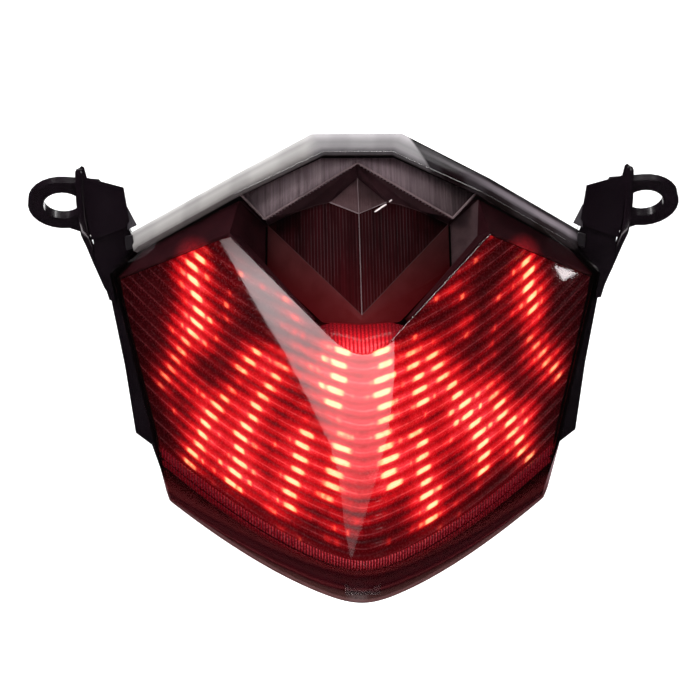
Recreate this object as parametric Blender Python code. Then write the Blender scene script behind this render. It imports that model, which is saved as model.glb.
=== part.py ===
"""Motorcycle tail light: smoked faceted lens, red fluted optic over two LED boards, dark centre
chamber with a quarter-turn bulb holder, black housing with two looped mounting ears.

As mounted: +Z up, the lens faces -Y, +X to the right for somebody standing behind the bike.
The origin is the centre of the flat rear pad, whose face lies in the plane y = 0.
Dimensions are in millimetres. "Ahead" is the distance from the rear pad towards the lens
(ahead = -y); "front" is the lens side and "back" the pad side.
"""

import math

import bmesh
import bpy
from mathutils import Matrix, Vector

# ---------------------------------------------------------------- driving dimensions (mm)
GAP = 0.3  # clearance between neighbouring pieces
FRONT, BACK = (0, -1, 0), (0, 1, 0)  # directions
SIDES = ((1, "right"), (-1, "left"))

# Main lens faces: ahead = MAIN_AHEAD - MAIN_SLOPE * |x| + MAIN_LEAN * z
MAIN_AHEAD, MAIN_SLOPE, MAIN_LEAN = 78.5, 0.795, 0.177
# Centre facet: ahead = CENTRE_AHEAD - CENTRE_LEAN * z
CENTRE_AHEAD, CENTRE_LEAN = 74.67, 0.605

# Corners of the lens outline (x, z), from the top round to the bottom
TOP_FLAT = (10.4, 59.0)  # end of the short flat along the top edge
SHOULDER = (36.7, 46.5)  # where the top edge breaks
TOP_END = (66.1, 30.9)  # outer end of the top edge
SIDE_TOP = (74.0, 21.8)
SIDE_LOW = (61.5, -30.5)
LIP_MID_CORNER = (58.3, -43.6)
LIP_LOW_CORNER = (57.4, -46.9)
SIDE_STATIONS = (14.3, -5.6, -26.2)  # heights of the points along the side
CREASE_TOP = 38.2  # x where the V crease starts under the shoulder

# The three lower edges: corner (x, z), then height at the centre
BEAD_Z, LIP_LOW_Z = -61.5, -74.4
BEAD = (SIDE_LOW, BEAD_Z)
LIP_MID = (LIP_MID_CORNER, -65.6)
LIP_LOW = (LIP_LOW_CORNER, LIP_LOW_Z)

RIDGE_HALF = 9.5  # half width of the rounded ridge between the main faces
RIDGE_STEPS = 3  # facets on each half of the ridge
# Stations along the lower edges, from the side (1) towards the centre (0)
STEPS = (1.0, 0.84, 0.68, 0.52, 0.37, 0.25) + tuple(
    RIDGE_HALF * k / RIDGE_STEPS / SIDE_LOW[0] for k in range(RIDGE_STEPS, 0, -1)
)

RIM_AHEAD, RIM_SLOPE = 26.0, 0.19  # housing rim: ahead = RIM_AHEAD - RIM_SLOPE * |x|
FLOOR_BACK, FLOOR_T = 3.0, 2.5  # rear face and thickness of the housing floor
FLOOR_FRONT = FLOOR_BACK + FLOOR_T

# Places shared by several pieces (x, z)
SOCKET = (0.0, 30.0)  # bulb holder axis
GROMMET = (0.0, -32.0)
VENT = (25.0, -33.0)
POSTS = ((40.0, -20.0), (30.0, 10.0))  # right-hand side; mirrored on the left
BOARD_SCREWS = ((14.0, -22.0), (46.0, 6.0))  # the same

LATHE_SMOOTH, BAR_SMOOTH = 35, 50  # degrees; sharper edges stay sharp
BAR_STEPS = 8
CHAMFER_ANGLE = 40  # degrees; sharper edges are bevelled

# ---------------------------------------------------------------- materials
BLACK = dict(name="black_plastic", colour=(0.02, 0.02, 0.022), roughness=0.35)
SMOKED = dict(name="smoked_plastic", colour=(0.10, 0.09, 0.09), roughness=0.08, alpha=0.5)
RED = dict(name="red_plastic", colour=(0.55, 0.01, 0.02), roughness=0.12)
DARK_CLEAR = dict(name="smoked_clear", colour=(0.16, 0.13, 0.13), roughness=0.1, alpha=0.7)
GREY = dict(name="grey_plastic", colour=(0.35, 0.35, 0.38), roughness=0.3)
BEZEL = dict(name="bezel_plastic", colour=(0.05, 0.02, 0.025), roughness=0.3)
RUBBER = dict(name="rubber", colour=(0.015, 0.015, 0.015), roughness=0.8)
BOARD = dict(name="board_red_mask", colour=(0.25, 0.02, 0.02), roughness=0.4)
CLEAR = dict(name="clear_plastic", colour=(0.8, 0.8, 0.8), roughness=0.05, alpha=0.4)
STEEL = dict(name="zinc_steel", colour=(0.6, 0.6, 0.58), roughness=0.35, metallic=1.0)
BRASS = dict(name="brass", colour=(0.7, 0.5, 0.2), roughness=0.3, metallic=1.0)
WIRE_BLACK = dict(name="wire_black", colour=(0.02, 0.02, 0.02), roughness=0.5)
WIRE_RED = dict(name="wire_red", colour=(0.5, 0.02, 0.02), roughness=0.5)
WIRE_YELLOW = dict(name="wire_yellow", colour=(0.7, 0.5, 0.05), roughness=0.5)


def material(name, colour, roughness, metallic=0.0, alpha=1.0):
    made = bpy.data.materials.get(name) or bpy.data.materials.new(name)
    made.use_nodes = True
    inputs = made.node_tree.nodes["Principled BSDF"].inputs
    inputs["Base Color"].default_value = (*colour, 1)
    inputs["Roughness"].default_value = roughness
    inputs["Metallic"].default_value = metallic
    inputs["Alpha"].default_value = alpha
    made.diffuse_color = (*colour, alpha)
    return made


# ---------------------------------------------------------------- points and outlines
def at(x, z, ahead):
    """Point in metres from millimetres in the frame of the light."""
    return Vector((x / 1000, -ahead / 1000, z / 1000))


class PointSet:
    """Points numbered as they come; the same place always gets the same number."""

    def __init__(self):
        self.places = {}

    def number(self, x, z, ahead):
        return self.places.setdefault((x, z, ahead), len(self.places))

    def vectors(self):
        return [at(*place) for place in self.places]


def half_faces(points, corners, faces, side):
    """Faces of one half, as numbers, from faces that name corners (x, z, ahead) of a table."""
    numbers = {name: points.number(side * x, z, ahead) for name, (x, z, ahead) in corners.items()}
    return [[numbers[name] for name in face.split()] for face in faces]


def mirrored(outline):
    return [(-x, z) for x, z in reversed(outline)]


def both_sides(places):
    return [(side * x, z) for x, z in places for side in (1, -1)]


def whole_outline(top, right, bottom):
    """Closed outline, clockwise from the top centre seen from the front."""
    return [(0, top)] + right + [(0, bottom)] + mirrored(right)


def rectangle(half_width, top, bottom):
    return [(-half_width, top), (half_width, top), (half_width, bottom), (-half_width, bottom)]


def offset(outline, distance):
    """A closed outline (clockwise seen from the front) moved inwards."""
    moved = []
    count = len(outline)
    for i in range(count):
        before, corner, after = (Vector(outline[(i + k) % count]) for k in (-1, 0, 1))
        first, second = (corner - before).normalized(), (after - corner).normalized()
        first_inward = Vector((first.y, -first.x))
        second_inward = Vector((second.y, -second.x))
        bisector = (first_inward + second_inward).normalized()
        # the limit keeps sharp corners from running away
        reach = distance / max(bisector.dot(first_inward), 0.35)
        moved.append(tuple(corner + bisector * reach))
    return moved


def smooth_path(points, per_span):
    """Catmull-Rom curve through points."""
    ends = [points[0] * 2 - points[1]] + points + [points[-1] * 2 - points[-2]]
    path = []
    for before, start, end, after in zip(ends, ends[1:], ends[2:], ends[3:]):
        linear = end - before
        square = 2 * before - 5 * start + 4 * end - after
        cubic = 3 * start - before - 3 * end + after
        for k in range(per_span):
            t = k / per_span
            path.append(0.5 * (2 * start + linear * t + square * t**2 + cubic * t**3))
    return path + [points[-1]]


# ---------------------------------------------------------------- solids and modifiers
def clear_scene():
    for obj in list(bpy.data.objects):
        bpy.data.objects.remove(obj, do_unlink=True)


def add(name, verts, faces, finish, smooth=None):
    """One named object from points (in metres) and faces, normals turned outwards."""
    mesh = bpy.data.meshes.new(name)
    work = bmesh.new()
    made = [work.verts.new(vert) for vert in verts]
    for face in faces:
        work.faces.new([made[i] for i in face])
    bmesh.ops.recalc_face_normals(work, faces=work.faces)
    work.to_mesh(mesh)
    work.free()
    mesh.materials.append(material(**finish))
    if smooth is not None:
        mesh.shade_smooth()
        mesh.set_sharp_from_angle(angle=math.radians(smooth))
    obj = bpy.data.objects.new(name, mesh)
    bpy.context.scene.collection.objects.link(obj)
    return obj


def cut(obj, tool, operation="DIFFERENCE"):
    tool.hide_render = True
    tool.display_type = "WIRE"
    modifier = obj.modifiers.new(operation.lower() + "_" + tool.name, "BOOLEAN")
    modifier.operation = operation
    modifier.object = tool
    modifier.solver = "EXACT"


def join(obj, tool):
    cut(obj, tool, "UNION")


def bevel(obj, width):
    modifier = obj.modifiers.new("edge", "BEVEL")
    modifier.width = width / 1000
    modifier.segments = 1
    modifier.limit_method = "ANGLE"
    modifier.angle_limit = math.radians(CHAMFER_ANGLE)


def band(low, high):
    """Faces between two closed rows of point numbers; a row of one point makes a fan."""
    faces = []
    count = max(len(low), len(high))
    for k in range(count):
        following = (k + 1) % count
        if len(low) == 1:
            faces.append([low[0], high[k], high[following]])
        elif len(high) == 1:
            faces.append([low[k], low[following], high[0]])
        else:
            faces.append([low[k], low[following], high[following], high[k]])
    return faces


def stack(loops):
    """Points of equally long loops in one list, and the row of point numbers of each loop."""
    count = len(loops[0])
    rows = [range(k * count, (k + 1) * count) for k in range(len(loops))]
    return [point for loop in loops for point in loop], rows


def shell(name, points, faces, thickness, finish):
    """A sheet of faces, thickened away from the front by a Solidify modifier."""
    obj = add(name, points, faces, finish)
    work = bmesh.new()
    work.from_mesh(obj.data)
    work.faces.ensure_lookup_table()
    # the first face is the reference: it has to look forward
    work.normal_update()
    if work.faces[0].normal.y > 0:
        bmesh.ops.reverse_faces(work, faces=work.faces)
    work.to_mesh(obj.data)
    work.free()
    modifier = obj.modifiers.new("wall", "SOLIDIFY")
    modifier.thickness = thickness / 1000
    modifier.offset = -1
    modifier.use_even_offset = True
    return obj


def slab(name, front, back, finish):
    """A body between two matching loops of points."""
    verts, (front_row, back_row) = stack([front, back])
    faces = [list(front_row), list(reversed(back_row))] + band(front_row, back_row)
    return add(name, verts, faces, finish)


def pillar(name, outline, front, back, finish):
    """A body over an outline, between two surfaces ahead = f(x, z)."""
    return slab(
        name,
        [at(x, z, front(x, z)) for x, z in outline],
        [at(x, z, back(x, z)) for x, z in outline],
        finish,
    )


def prism(name, outline, back, front, finish):
    return pillar(name, outline, lambda x, z: front, lambda x, z: back, finish)


def draped(name, points, faces, thickness, finish):
    """A sheet of faces with the same sheet `thickness` behind it, closed round the edge."""
    count = len(points)
    shift = Vector((0, thickness / 1000, 0))
    uses = {}
    for face in faces:
        for start, end in zip(face, face[1:] + face[:1]):
            uses.setdefault(frozenset((start, end)), []).append((start, end))
    border = [edges[0] for edges in uses.values() if len(edges) == 1]
    walls = [[start, end, count + end, count + start] for start, end in border]
    rear = [[count + i for i in face] for face in faces]
    return add(name, points + [point + shift for point in points], faces + rear + walls, finish)


def lathe(name, profile, centre, direction, finish, steps):
    """Turns (radius, height) pairs about an axis through centre. Radius 0 closes an end; when
    neither end is on the axis the profile closes on itself as a ring."""
    axis = Vector(direction).normalized()
    across = axis.orthogonal().normalized()
    other = axis.cross(across)
    verts, rows = [], []
    for radius, height in profile:
        base = centre + axis * (height / 1000)
        start = len(verts)
        if radius == 0:
            verts.append(base)
        else:
            for k in range(steps):
                turn = 2 * math.pi * (k + 0.5) / steps
                spoke = across * math.cos(turn) + other * math.sin(turn)
                verts.append(base + spoke * (radius / 1000))
        rows.append(range(start, len(verts)))
    pairs = list(zip(rows, rows[1:]))
    if profile[0][0] and profile[-1][0]:
        pairs.append((rows[-1], rows[0]))
    faces = [face for low, high in pairs for face in band(low, high)]
    return add(name, verts, faces, finish, LATHE_SMOOTH)


def cylinder(name, radius, ends, centre, direction, finish, steps):
    """A round plug between two heights along its axis."""
    low, high = ends
    profile = [(0, low), (radius, low), (radius, high), (0, high)]
    return lathe(name, profile, centre, direction, finish, steps)


def sweep(name, path, radius, finish):
    """A round bar along points given in metres."""
    loops = []
    across = None
    for i, point in enumerate(path):
        along = (path[min(i + 1, len(path) - 1)] - path[max(i - 1, 0)]).normalized()
        if across is None:
            across = along.orthogonal().normalized()
        else:
            across = (across - along * across.dot(along)).normalized()
        other = along.cross(across)
        turns = [2 * math.pi * k / BAR_STEPS for k in range(BAR_STEPS)]
        loops.append(
            [point + (across * math.cos(t) + other * math.sin(t)) * (radius / 1000) for t in turns]
        )
    verts, rows = stack(loops)
    faces = [list(rows[0]), list(rows[-1])]
    for low, high in zip(rows, rows[1:]):
        faces += band(low, high)
    return add(name, verts, faces, finish, BAR_SMOOTH)


def block(name, size, finish, centre=(0, 0, 0), chamfer=0):
    """A box; size and centre are given as (x, z, ahead)."""
    half_x, half_z, half_y = (length / 2000 for length in size)
    signs = (-1, 1)
    verts = [
        Vector((i * half_x, j * half_y, k * half_z)) for i in signs for j in signs for k in signs
    ]
    faces = [[0, 1, 3, 2], [4, 6, 7, 5], [0, 4, 5, 1], [2, 3, 7, 6], [0, 2, 6, 4], [1, 5, 7, 3]]
    obj = add(name, verts, faces, finish)
    obj.location = at(*centre)
    if chamfer:
        bevel(obj, chamfer)
    return obj


def socket_spokes(name, start, length, width, reach, ends, finish):
    """Three blocks round the bulb holder axis, centred `reach` from it, the first at `start`."""
    back, front = ends
    spokes = []
    for k in range(3):
        turn = math.radians(start + 120 * k)
        spoke = block("%s_%d" % (name, k), (length, width, front - back), finish)
        x, z = SOCKET[0] + math.cos(turn) * reach, SOCKET[1] + math.sin(turn) * reach
        place = Matrix.Translation(at(x, z, (back + front) / 2))
        spoke.matrix_world = place @ Matrix.Rotation(-turn, 4, "Y")
        spokes.append(spoke)
    return spokes


def hang_on_pivot(name, location, pieces):
    """Parents pieces, where they stand, to a new empty that marks their axis."""
    pivot = bpy.data.objects.new(name, None)
    pivot.location = location
    bpy.context.scene.collection.objects.link(pivot)
    bpy.context.view_layer.update()
    for piece in pieces:
        piece.parent = pivot
        piece.matrix_parent_inverse = pivot.matrix_world.inverted()


# ---------------------------------------------------------------- lens surfaces and outline
def main_face(x, z):
    return MAIN_AHEAD - MAIN_SLOPE * abs(x) + MAIN_LEAN * z


def lens_face(x, z):
    """The main faces with the rounded ridge between them (a parabola tangent to both)."""
    if abs(x) >= RIDGE_HALF:
        return main_face(x, z)
    rounded_x = x * x / (2 * RIDGE_HALF) + RIDGE_HALF / 2
    return MAIN_AHEAD - MAIN_SLOPE * rounded_x + MAIN_LEAN * z


def centre_facet(z):
    return CENTRE_AHEAD - CENTRE_LEAN * z


def crease_z(x):
    """Height of the V crease, where the main faces meet the centre facet."""
    return (MAIN_SLOPE * abs(x) - MAIN_AHEAD + CENTRE_AHEAD) / (MAIN_LEAN + CENTRE_LEAN)


def vee_z(x):
    """Height of the rounded point of the V, where the ridge meets the centre facet."""
    return (CENTRE_AHEAD - lens_face(x, 0)) / (MAIN_LEAN + CENTRE_LEAN)


def border_facet(x, z):
    """Plane through the top of the crease, the shoulder and the top of the side."""
    crease_top_z = crease_z(CREASE_TOP)
    crease = Vector((CREASE_TOP, crease_top_z, centre_facet(crease_top_z)))
    shoulder = Vector((*SHOULDER, centre_facet(SHOULDER[1])))
    side = Vector((*SIDE_TOP, main_face(*SIDE_TOP)))
    normal = (shoulder - crease).cross(side - crease)
    return crease.z - (normal.x * (abs(x) - crease.x) + normal.y * (z - crease.y)) / normal.z


def rim(x):
    return RIM_AHEAD - RIM_SLOPE * abs(x)


def low_edge(edge, share):
    """Point (x, z) on one of the lower edges, from the centre (0) to the corner (1)."""
    corner, centre_z = edge
    return corner[0] * share, centre_z + (corner[1] - centre_z) * share**1.5


def side_x(z):
    share = (z - SIDE_LOW[1]) / (SIDE_TOP[1] - SIDE_LOW[1])
    return SIDE_LOW[0] + share * (SIDE_TOP[0] - SIDE_LOW[0])


def lens_outline():
    right = [TOP_FLAT, SHOULDER, TOP_END, SIDE_TOP]
    right += [(side_x(z), z) for z in SIDE_STATIONS]
    right += [SIDE_LOW, LIP_MID_CORNER] + [low_edge(LIP_LOW, share) for share in STEPS]
    return whole_outline(TOP_FLAT[1], right, LIP_LOW_Z)


# ---------------------------------------------------------------- outer lens
LENS_WALL = 2.2
LIP_SETBACK = 3.0  # of each lip edge behind the edge above it
LIP_CENTRE_SETBACK = 3  # added to the lowest edge towards the centre
SKIRT_LIFT = 0.9  # back edge of the skirt ahead of the housing rim

FLANGE_T, FLANGE_DEPTH = 1.9, 8.0  # depth: outer edge behind the lens edge
FLANGE_ROOT_SCALE, FLANGE_ROOT_DROP, FLANGE_ROOT_SETBACK = 0.985, 1.1, 1.6
# lens corner, outer corner of the flange (x, z)
FLANGE_EDGE = ((TOP_FLAT, (13.8, 64.5)), (SHOULDER, (39.6, 50.7)), (TOP_END, (67.0, 36.2)))

# hole in the lower lip: half width, top, bottom; then its ends along the depth
WINDOW_HALF, WINDOW_TOP, WINDOW_BOTTOM = 5.6, -67.6, -72.0
WINDOW_HOLE_ENDS = (46, 71)


def half_lens(points, side):
    """Faces of one half of the outer lens."""
    end_x, end_z = TOP_END
    crease_top_z = crease_z(CREASE_TOP)
    shoulder = points.number(side * SHOULDER[0], SHOULDER[1], centre_facet(SHOULDER[1]))
    flat = points.number(side * TOP_FLAT[0], TOP_FLAT[1], centre_facet(TOP_FLAT[1]))
    crease = points.number(side * CREASE_TOP, crease_top_z, main_face(CREASE_TOP, crease_top_z))
    end = points.number(side * end_x, end_z, border_facet(end_x, end_z))
    side_top = points.number(side * SIDE_TOP[0], SIDE_TOP[1], main_face(*SIDE_TOP))
    top = points.number(0, TOP_FLAT[1], centre_facet(TOP_FLAT[1]))
    # rounded end of the V, where the ridge runs into the centre facet
    vee = []
    for k in range(RIDGE_STEPS + 1):
        x = RIDGE_HALF * k / RIDGE_STEPS
        vee.append(points.number(side * x, vee_z(x), centre_facet(vee_z(x))))
    flank = [points.number(side * side_x(z), z, main_face(side_x(z), z)) for z in SIDE_STATIONS]
    beads, mids, lows = [], [], []
    for share in STEPS + (0,):
        ahead = lens_face(*low_edge(BEAD, share))
        mid_ahead = ahead - LIP_SETBACK
        low_ahead = mid_ahead - LIP_SETBACK - LIP_CENTRE_SETBACK * (1 - share)
        chains = ((beads, BEAD, ahead), (mids, LIP_MID, mid_ahead), (lows, LIP_LOW, low_ahead))
        for chain, edge, edge_ahead in chains:
            x, z = low_edge(edge, share)
            chain.append(points.number(side * x, z, edge_ahead))

    faces = [[vee[-1], crease, side_top] + flank + beads[:-RIDGE_STEPS]]
    faces.append([shoulder, end, side_top, crease])
    foot = beads[::-1]
    faces += [[foot[k], vee[k], vee[k + 1], foot[k + 1]] for k in range(RIDGE_STEPS)]
    faces.append(vee + [crease, shoulder, flat, top])
    for k in range(len(STEPS)):
        for upper, lower in ((beads, mids), (mids, lows)):
            faces.append([upper[k], upper[k + 1], lower[k + 1], lower[k]])
    # skirt back to the rim
    edge = [top, flat, shoulder, end, side_top] + flank + [beads[0], mids[0]] + lows
    places = list(points.places)
    back = []
    for i in edge:
        x, z, _ = places[i]
        back.append(points.number(x, z, rim(x) + SKIRT_LIFT))
    faces += [[edge[k], edge[k + 1], back[k + 1], back[k]] for k in range(len(edge) - 1)]
    return faces


def build_flange_tool():
    """The flange that stands off the top edge of the lens."""
    stations = [(-1, *pair) for pair in reversed(FLANGE_EDGE)]
    stations += [(1, *pair) for pair in FLANGE_EDGE]
    strip = []
    for side, (x, z), (outer_x, outer_z) in stations:
        ahead = border_facet(x, z) if x > SHOULDER[0] else centre_facet(z)
        root_x = side * x * FLANGE_ROOT_SCALE
        strip.append(at(root_x, z - FLANGE_ROOT_DROP, ahead - FLANGE_ROOT_SETBACK))
        strip.append(at(side * outer_x, outer_z, ahead - FLANGE_DEPTH))
    quads = [[2 * k, 2 * k + 1, 2 * k + 3, 2 * k + 2] for k in range(len(stations) - 1)]
    return shell("flange_tool", strip, quads, FLANGE_T, SMOKED)


def build_outer_lens():
    points = PointSet()
    faces = half_lens(points, 1) + half_lens(points, -1)
    lens = shell("outer_lens", points.vectors(), faces, LENS_WALL, SMOKED)
    join(lens, build_flange_tool())
    window = rectangle(WINDOW_HALF, WINDOW_TOP, WINDOW_BOTTOM)
    cut(lens, prism("window_hole", window, *WINDOW_HOLE_ENDS, SMOKED))


# ---------------------------------------------------------------- gasket
# inset from the lens outline, lift ahead of the rim
GASKET_SECTION = ((0.35, 0.25), (0.35, 0.6), (2.0, 0.6), (2.0, 0.25))


def build_gasket():
    outline = lens_outline()
    loops = [
        [at(x, z, rim(edge_x) + lift) for (x, z), (edge_x, _) in zip(offset(outline, inset), outline)]
        for inset, lift in GASKET_SECTION
    ]
    verts, rows = stack(loops)
    faces = []
    for low, high in zip(rows, rows[1:] + rows[:1]):
        faces += band(low, high)
    add("lens_gasket", verts, faces, RUBBER)


# ---------------------------------------------------------------- housing
HOUSING_SIDE_X = (74.9, 70.9, 67.7)  # half widths at SIDE_STATIONS
HOUSING_LIP_SCALE, HOUSING_LIP_RISE = 0.995, 0.5
FLOOR_SCALE = 0.86  # the floor outline against the lens outline
RIM_BAND, RIM_STEP = 3.5, 4.5  # back of the wide rim band and of the step, behind the rim
STEP_INSET, RIM_INSET, FLOOR_INSET = 0.9, 2.9, 2.6
PAD_HALF = (26.0, 11.0)

EAR_RING = (89.5, 44.5, 11.0)  # ring centre (x, z, ahead)
EAR_R, EAR_HOLE_R, EAR_T, EAR_TILT = 10.7, 6.0, 2.5, 40.0
EAR_ARC, EAR_ARC_POINTS = 98, 15  # the outline runs this many degrees either way from outwards
# inner end of the ear plate: outwards and up along the plate, from the ring centre
EAR_TONGUE = [(-11.5, 9.4), (-13.5, 4.0), (-13.5, -14.0), (-9.0, -14.5)]
COLLAR_R, COLLAR_T, COLLAR_START = 9.0, 0.5, 0.1  # raised washer face on the back of each ring
EAR_HOLE_ENDS = (-6, 6)

# Bracket between the housing and the right ear: name, back, front, outline (x, z)
BRACKET_FLANK = [(69.6, 37.6), (80.2, 35.0), (79.0, 24.0), (76.6, 19.0), (75.2, 14.6)]
BRACKET = (
    (
        "plate", 17.6, 20.1,
        [
            (84.2, 54.6), (83.2, 55.5), (82.4, 55.0), (81.6, 51.9), (70.6, 48.9),
            (68.9, 38.6), (70.2, 36.6), (80.4, 33.0), (80.9, 35.8),
        ],
    ),
    ("root", 10.6, 18.4, [(67.1, 31.8)] + BRACKET_FLANK + [(73.4, 14.4), (75.0, 22.6)]),
    ("stem", 5.6, 11.2, [(66.4, 31.0)] + BRACKET_FLANK + [(72.4, 14.4), (72.4, 22.0)]),
    ("web", 8.0, 18.6, [(76.0, 50.0), (79.6, 50.8), (79.2, 31.0), (75.0, 30.0)]),
)

SOCKET_R, SOCKET_FLANGE_R, SOCKET_HOLE_R = 10.2, 14.0, 10.8
LUG_R, LUG_WIDTH, LUG_START = 12.6, 5.0, 90
SOCKET_TURN = 45.0  # degrees between the lugs and their slots
SLOT_LENGTH, SLOT_CLEARANCE, SLOT_REACH, SLOT_ENDS = 8.0, 0.9, 9.6, (-3, 11)
SOCKET_HOLE_ENDS, FLOOR_HOLE_ENDS = (-3, 9), (-2, 9)
GROMMET_HOLE_R, VENT_HOLE_R, POST_HOLE_R = 4.6, 2.3, 1.9


def housing_outline():
    """The rim of the housing: a little inside the lens, but wider along the sides."""
    right = [
        (TOP_FLAT[0] - 0.2, TOP_FLAT[1] - 0.5),
        (SHOULDER[0] - 0.3, SHOULDER[1] - 0.5),
        (TOP_END[0] + 0.4, TOP_END[1] - 0.4),
        (SIDE_TOP[0] + 2.6, SIDE_TOP[1] + 0.6),
        *zip(HOUSING_SIDE_X, SIDE_STATIONS),
        (SIDE_LOW[0] + 1.3, SIDE_LOW[1] + 0.6),
        (LIP_MID_CORNER[0] - 0.3, LIP_MID_CORNER[1]),
    ]
    for share in STEPS:
        x, z = low_edge(LIP_LOW, share)
        right.append((x * HOUSING_LIP_SCALE, z + HOUSING_LIP_RISE))
    return whole_outline(TOP_FLAT[1] - 0.5, right, LIP_LOW_Z + HOUSING_LIP_RISE)


def build_housing_tub():
    lens, outer = lens_outline(), housing_outline()
    floor = [(x * FLOOR_SCALE, z * FLOOR_SCALE) for x, z in lens]

    def behind_rim(outline, drop):
        return [at(x, z, rim(lens_x) - drop) for (x, z), (lens_x, _) in zip(outline, lens)]

    verts, rows = stack([
        behind_rim(outer, 0),
        behind_rim(outer, RIM_BAND),
        behind_rim(offset(lens, STEP_INSET), RIM_STEP),
        [at(x, z, FLOOR_BACK) for x, z in floor],
        behind_rim(offset(lens, RIM_INSET), 0),
        [at(x, z, FLOOR_FRONT) for x, z in offset(floor, FLOOR_INSET)],
    ])
    faces = []
    for low, high in ((0, 1), (1, 2), (2, 3), (4, 5), (4, 0)):
        faces += band(rows[low], rows[high])
    faces += [list(rows[3]), list(rows[5])]
    return add("housing", verts, faces, BLACK)


def add_ear(housing, side, tag):
    """Flat ring and tongue that rise forward by EAR_TILT, the washer face and the hole."""
    tilt = math.radians(EAR_TILT)
    centre = at(side * EAR_RING[0], *EAR_RING[1:])
    outwards = Vector((side, 0, 0))
    up = Vector((0, -math.cos(tilt), math.sin(tilt)))
    normal = Vector((0, math.sin(tilt), math.cos(tilt)))
    outline = []
    for k in range(EAR_ARC_POINTS):
        turn = math.radians(-EAR_ARC + 2 * EAR_ARC * k / (EAR_ARC_POINTS - 1))
        outline.append((EAR_R * math.cos(turn), EAR_R * math.sin(turn)))
    outline += EAR_TONGUE
    half = normal * (EAR_T / 2000)
    front = [centre + outwards * (i / 1000) + up * (j / 1000) - half for i, j in outline]
    back = [point + half * 2 for point in front]
    join(housing, slab("ear_tool_" + tag, front, back, BLACK))
    collar_ends = (COLLAR_START, EAR_T / 2 + COLLAR_T)
    name = "ear_collar_" + tag
    join(housing, cylinder(name, COLLAR_R, collar_ends, centre, normal, BLACK, 28))
    name = "ear_hole_" + tag
    cut(housing, cylinder(name, EAR_HOLE_R, EAR_HOLE_ENDS, centre, normal, BLACK, 24))


def cut_floor_hole(housing, name, radius, ends, place, steps):
    cut(housing, cylinder(name, radius, ends, at(*place, 0), FRONT, BLACK, steps))


def cut_openings(housing):
    """Bulb holder hole with slots for its lugs, and the smaller holes in the floor."""
    cut_floor_hole(housing, "socket_hole", SOCKET_HOLE_R, SOCKET_HOLE_ENDS, SOCKET, 32)
    slots = socket_spokes(
        "lug_slot", LUG_START - SOCKET_TURN, SLOT_LENGTH, LUG_WIDTH + SLOT_CLEARANCE,
        SLOT_REACH, SLOT_ENDS, BLACK,
    )
    for slot in slots:
        cut(housing, slot)
    cut_floor_hole(housing, "grommet_hole", GROMMET_HOLE_R, FLOOR_HOLE_ENDS, GROMMET, 20)
    cut_floor_hole(housing, "vent_hole", VENT_HOLE_R, FLOOR_HOLE_ENDS, VENT, 16)
    for k, place in enumerate(both_sides(POSTS)):
        cut_floor_hole(housing, "post_hole_%d" % k, POST_HOLE_R, FLOOR_HOLE_ENDS, place, 12)


def build_housing():
    housing = build_housing_tub()
    half_width, half_height = PAD_HALF
    pad = rectangle(half_width, half_height, -half_height)
    join(housing, prism("pad_tool", pad, 0, FLOOR_BACK + 1, BLACK))
    for side, tag in SIDES:
        for part, back, front, right in BRACKET:
            outline = right if side > 0 else mirrored(right)
            join(housing, prism("%s_tool_%s" % (part, tag), outline, back, front, BLACK))
        add_ear(housing, side, tag)
    cut_openings(housing)


# ---------------------------------------------------------------- red optic
OPTIC_SET, OPTIC_T = 7.0, 2.8  # distance behind the main faces, thickness front to back
OPTIC_FLAT = 7.0  # half width of the flattened ridge
OPTIC_MARGIN = 2.2  # below the crease and above the bead
OPTIC_TOP_X, OPTIC_SIDE_TOP, OPTIC_SIDE_INSET = 38.6, (69.6, 19.8), 3.6
OPTIC_LOW_SCALE = 0.945
CHIN_END_X = 12.6
CHIN_TOP, CHIN_TOP_SIDE = (0, 6.6, 57.0), (8.6, 7.4, 55.0)  # (x, z, ahead)


def optic_face(x, z):
    return MAIN_AHEAD - OPTIC_SET - MAIN_SLOPE * abs(x) + MAIN_LEAN * z


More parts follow.
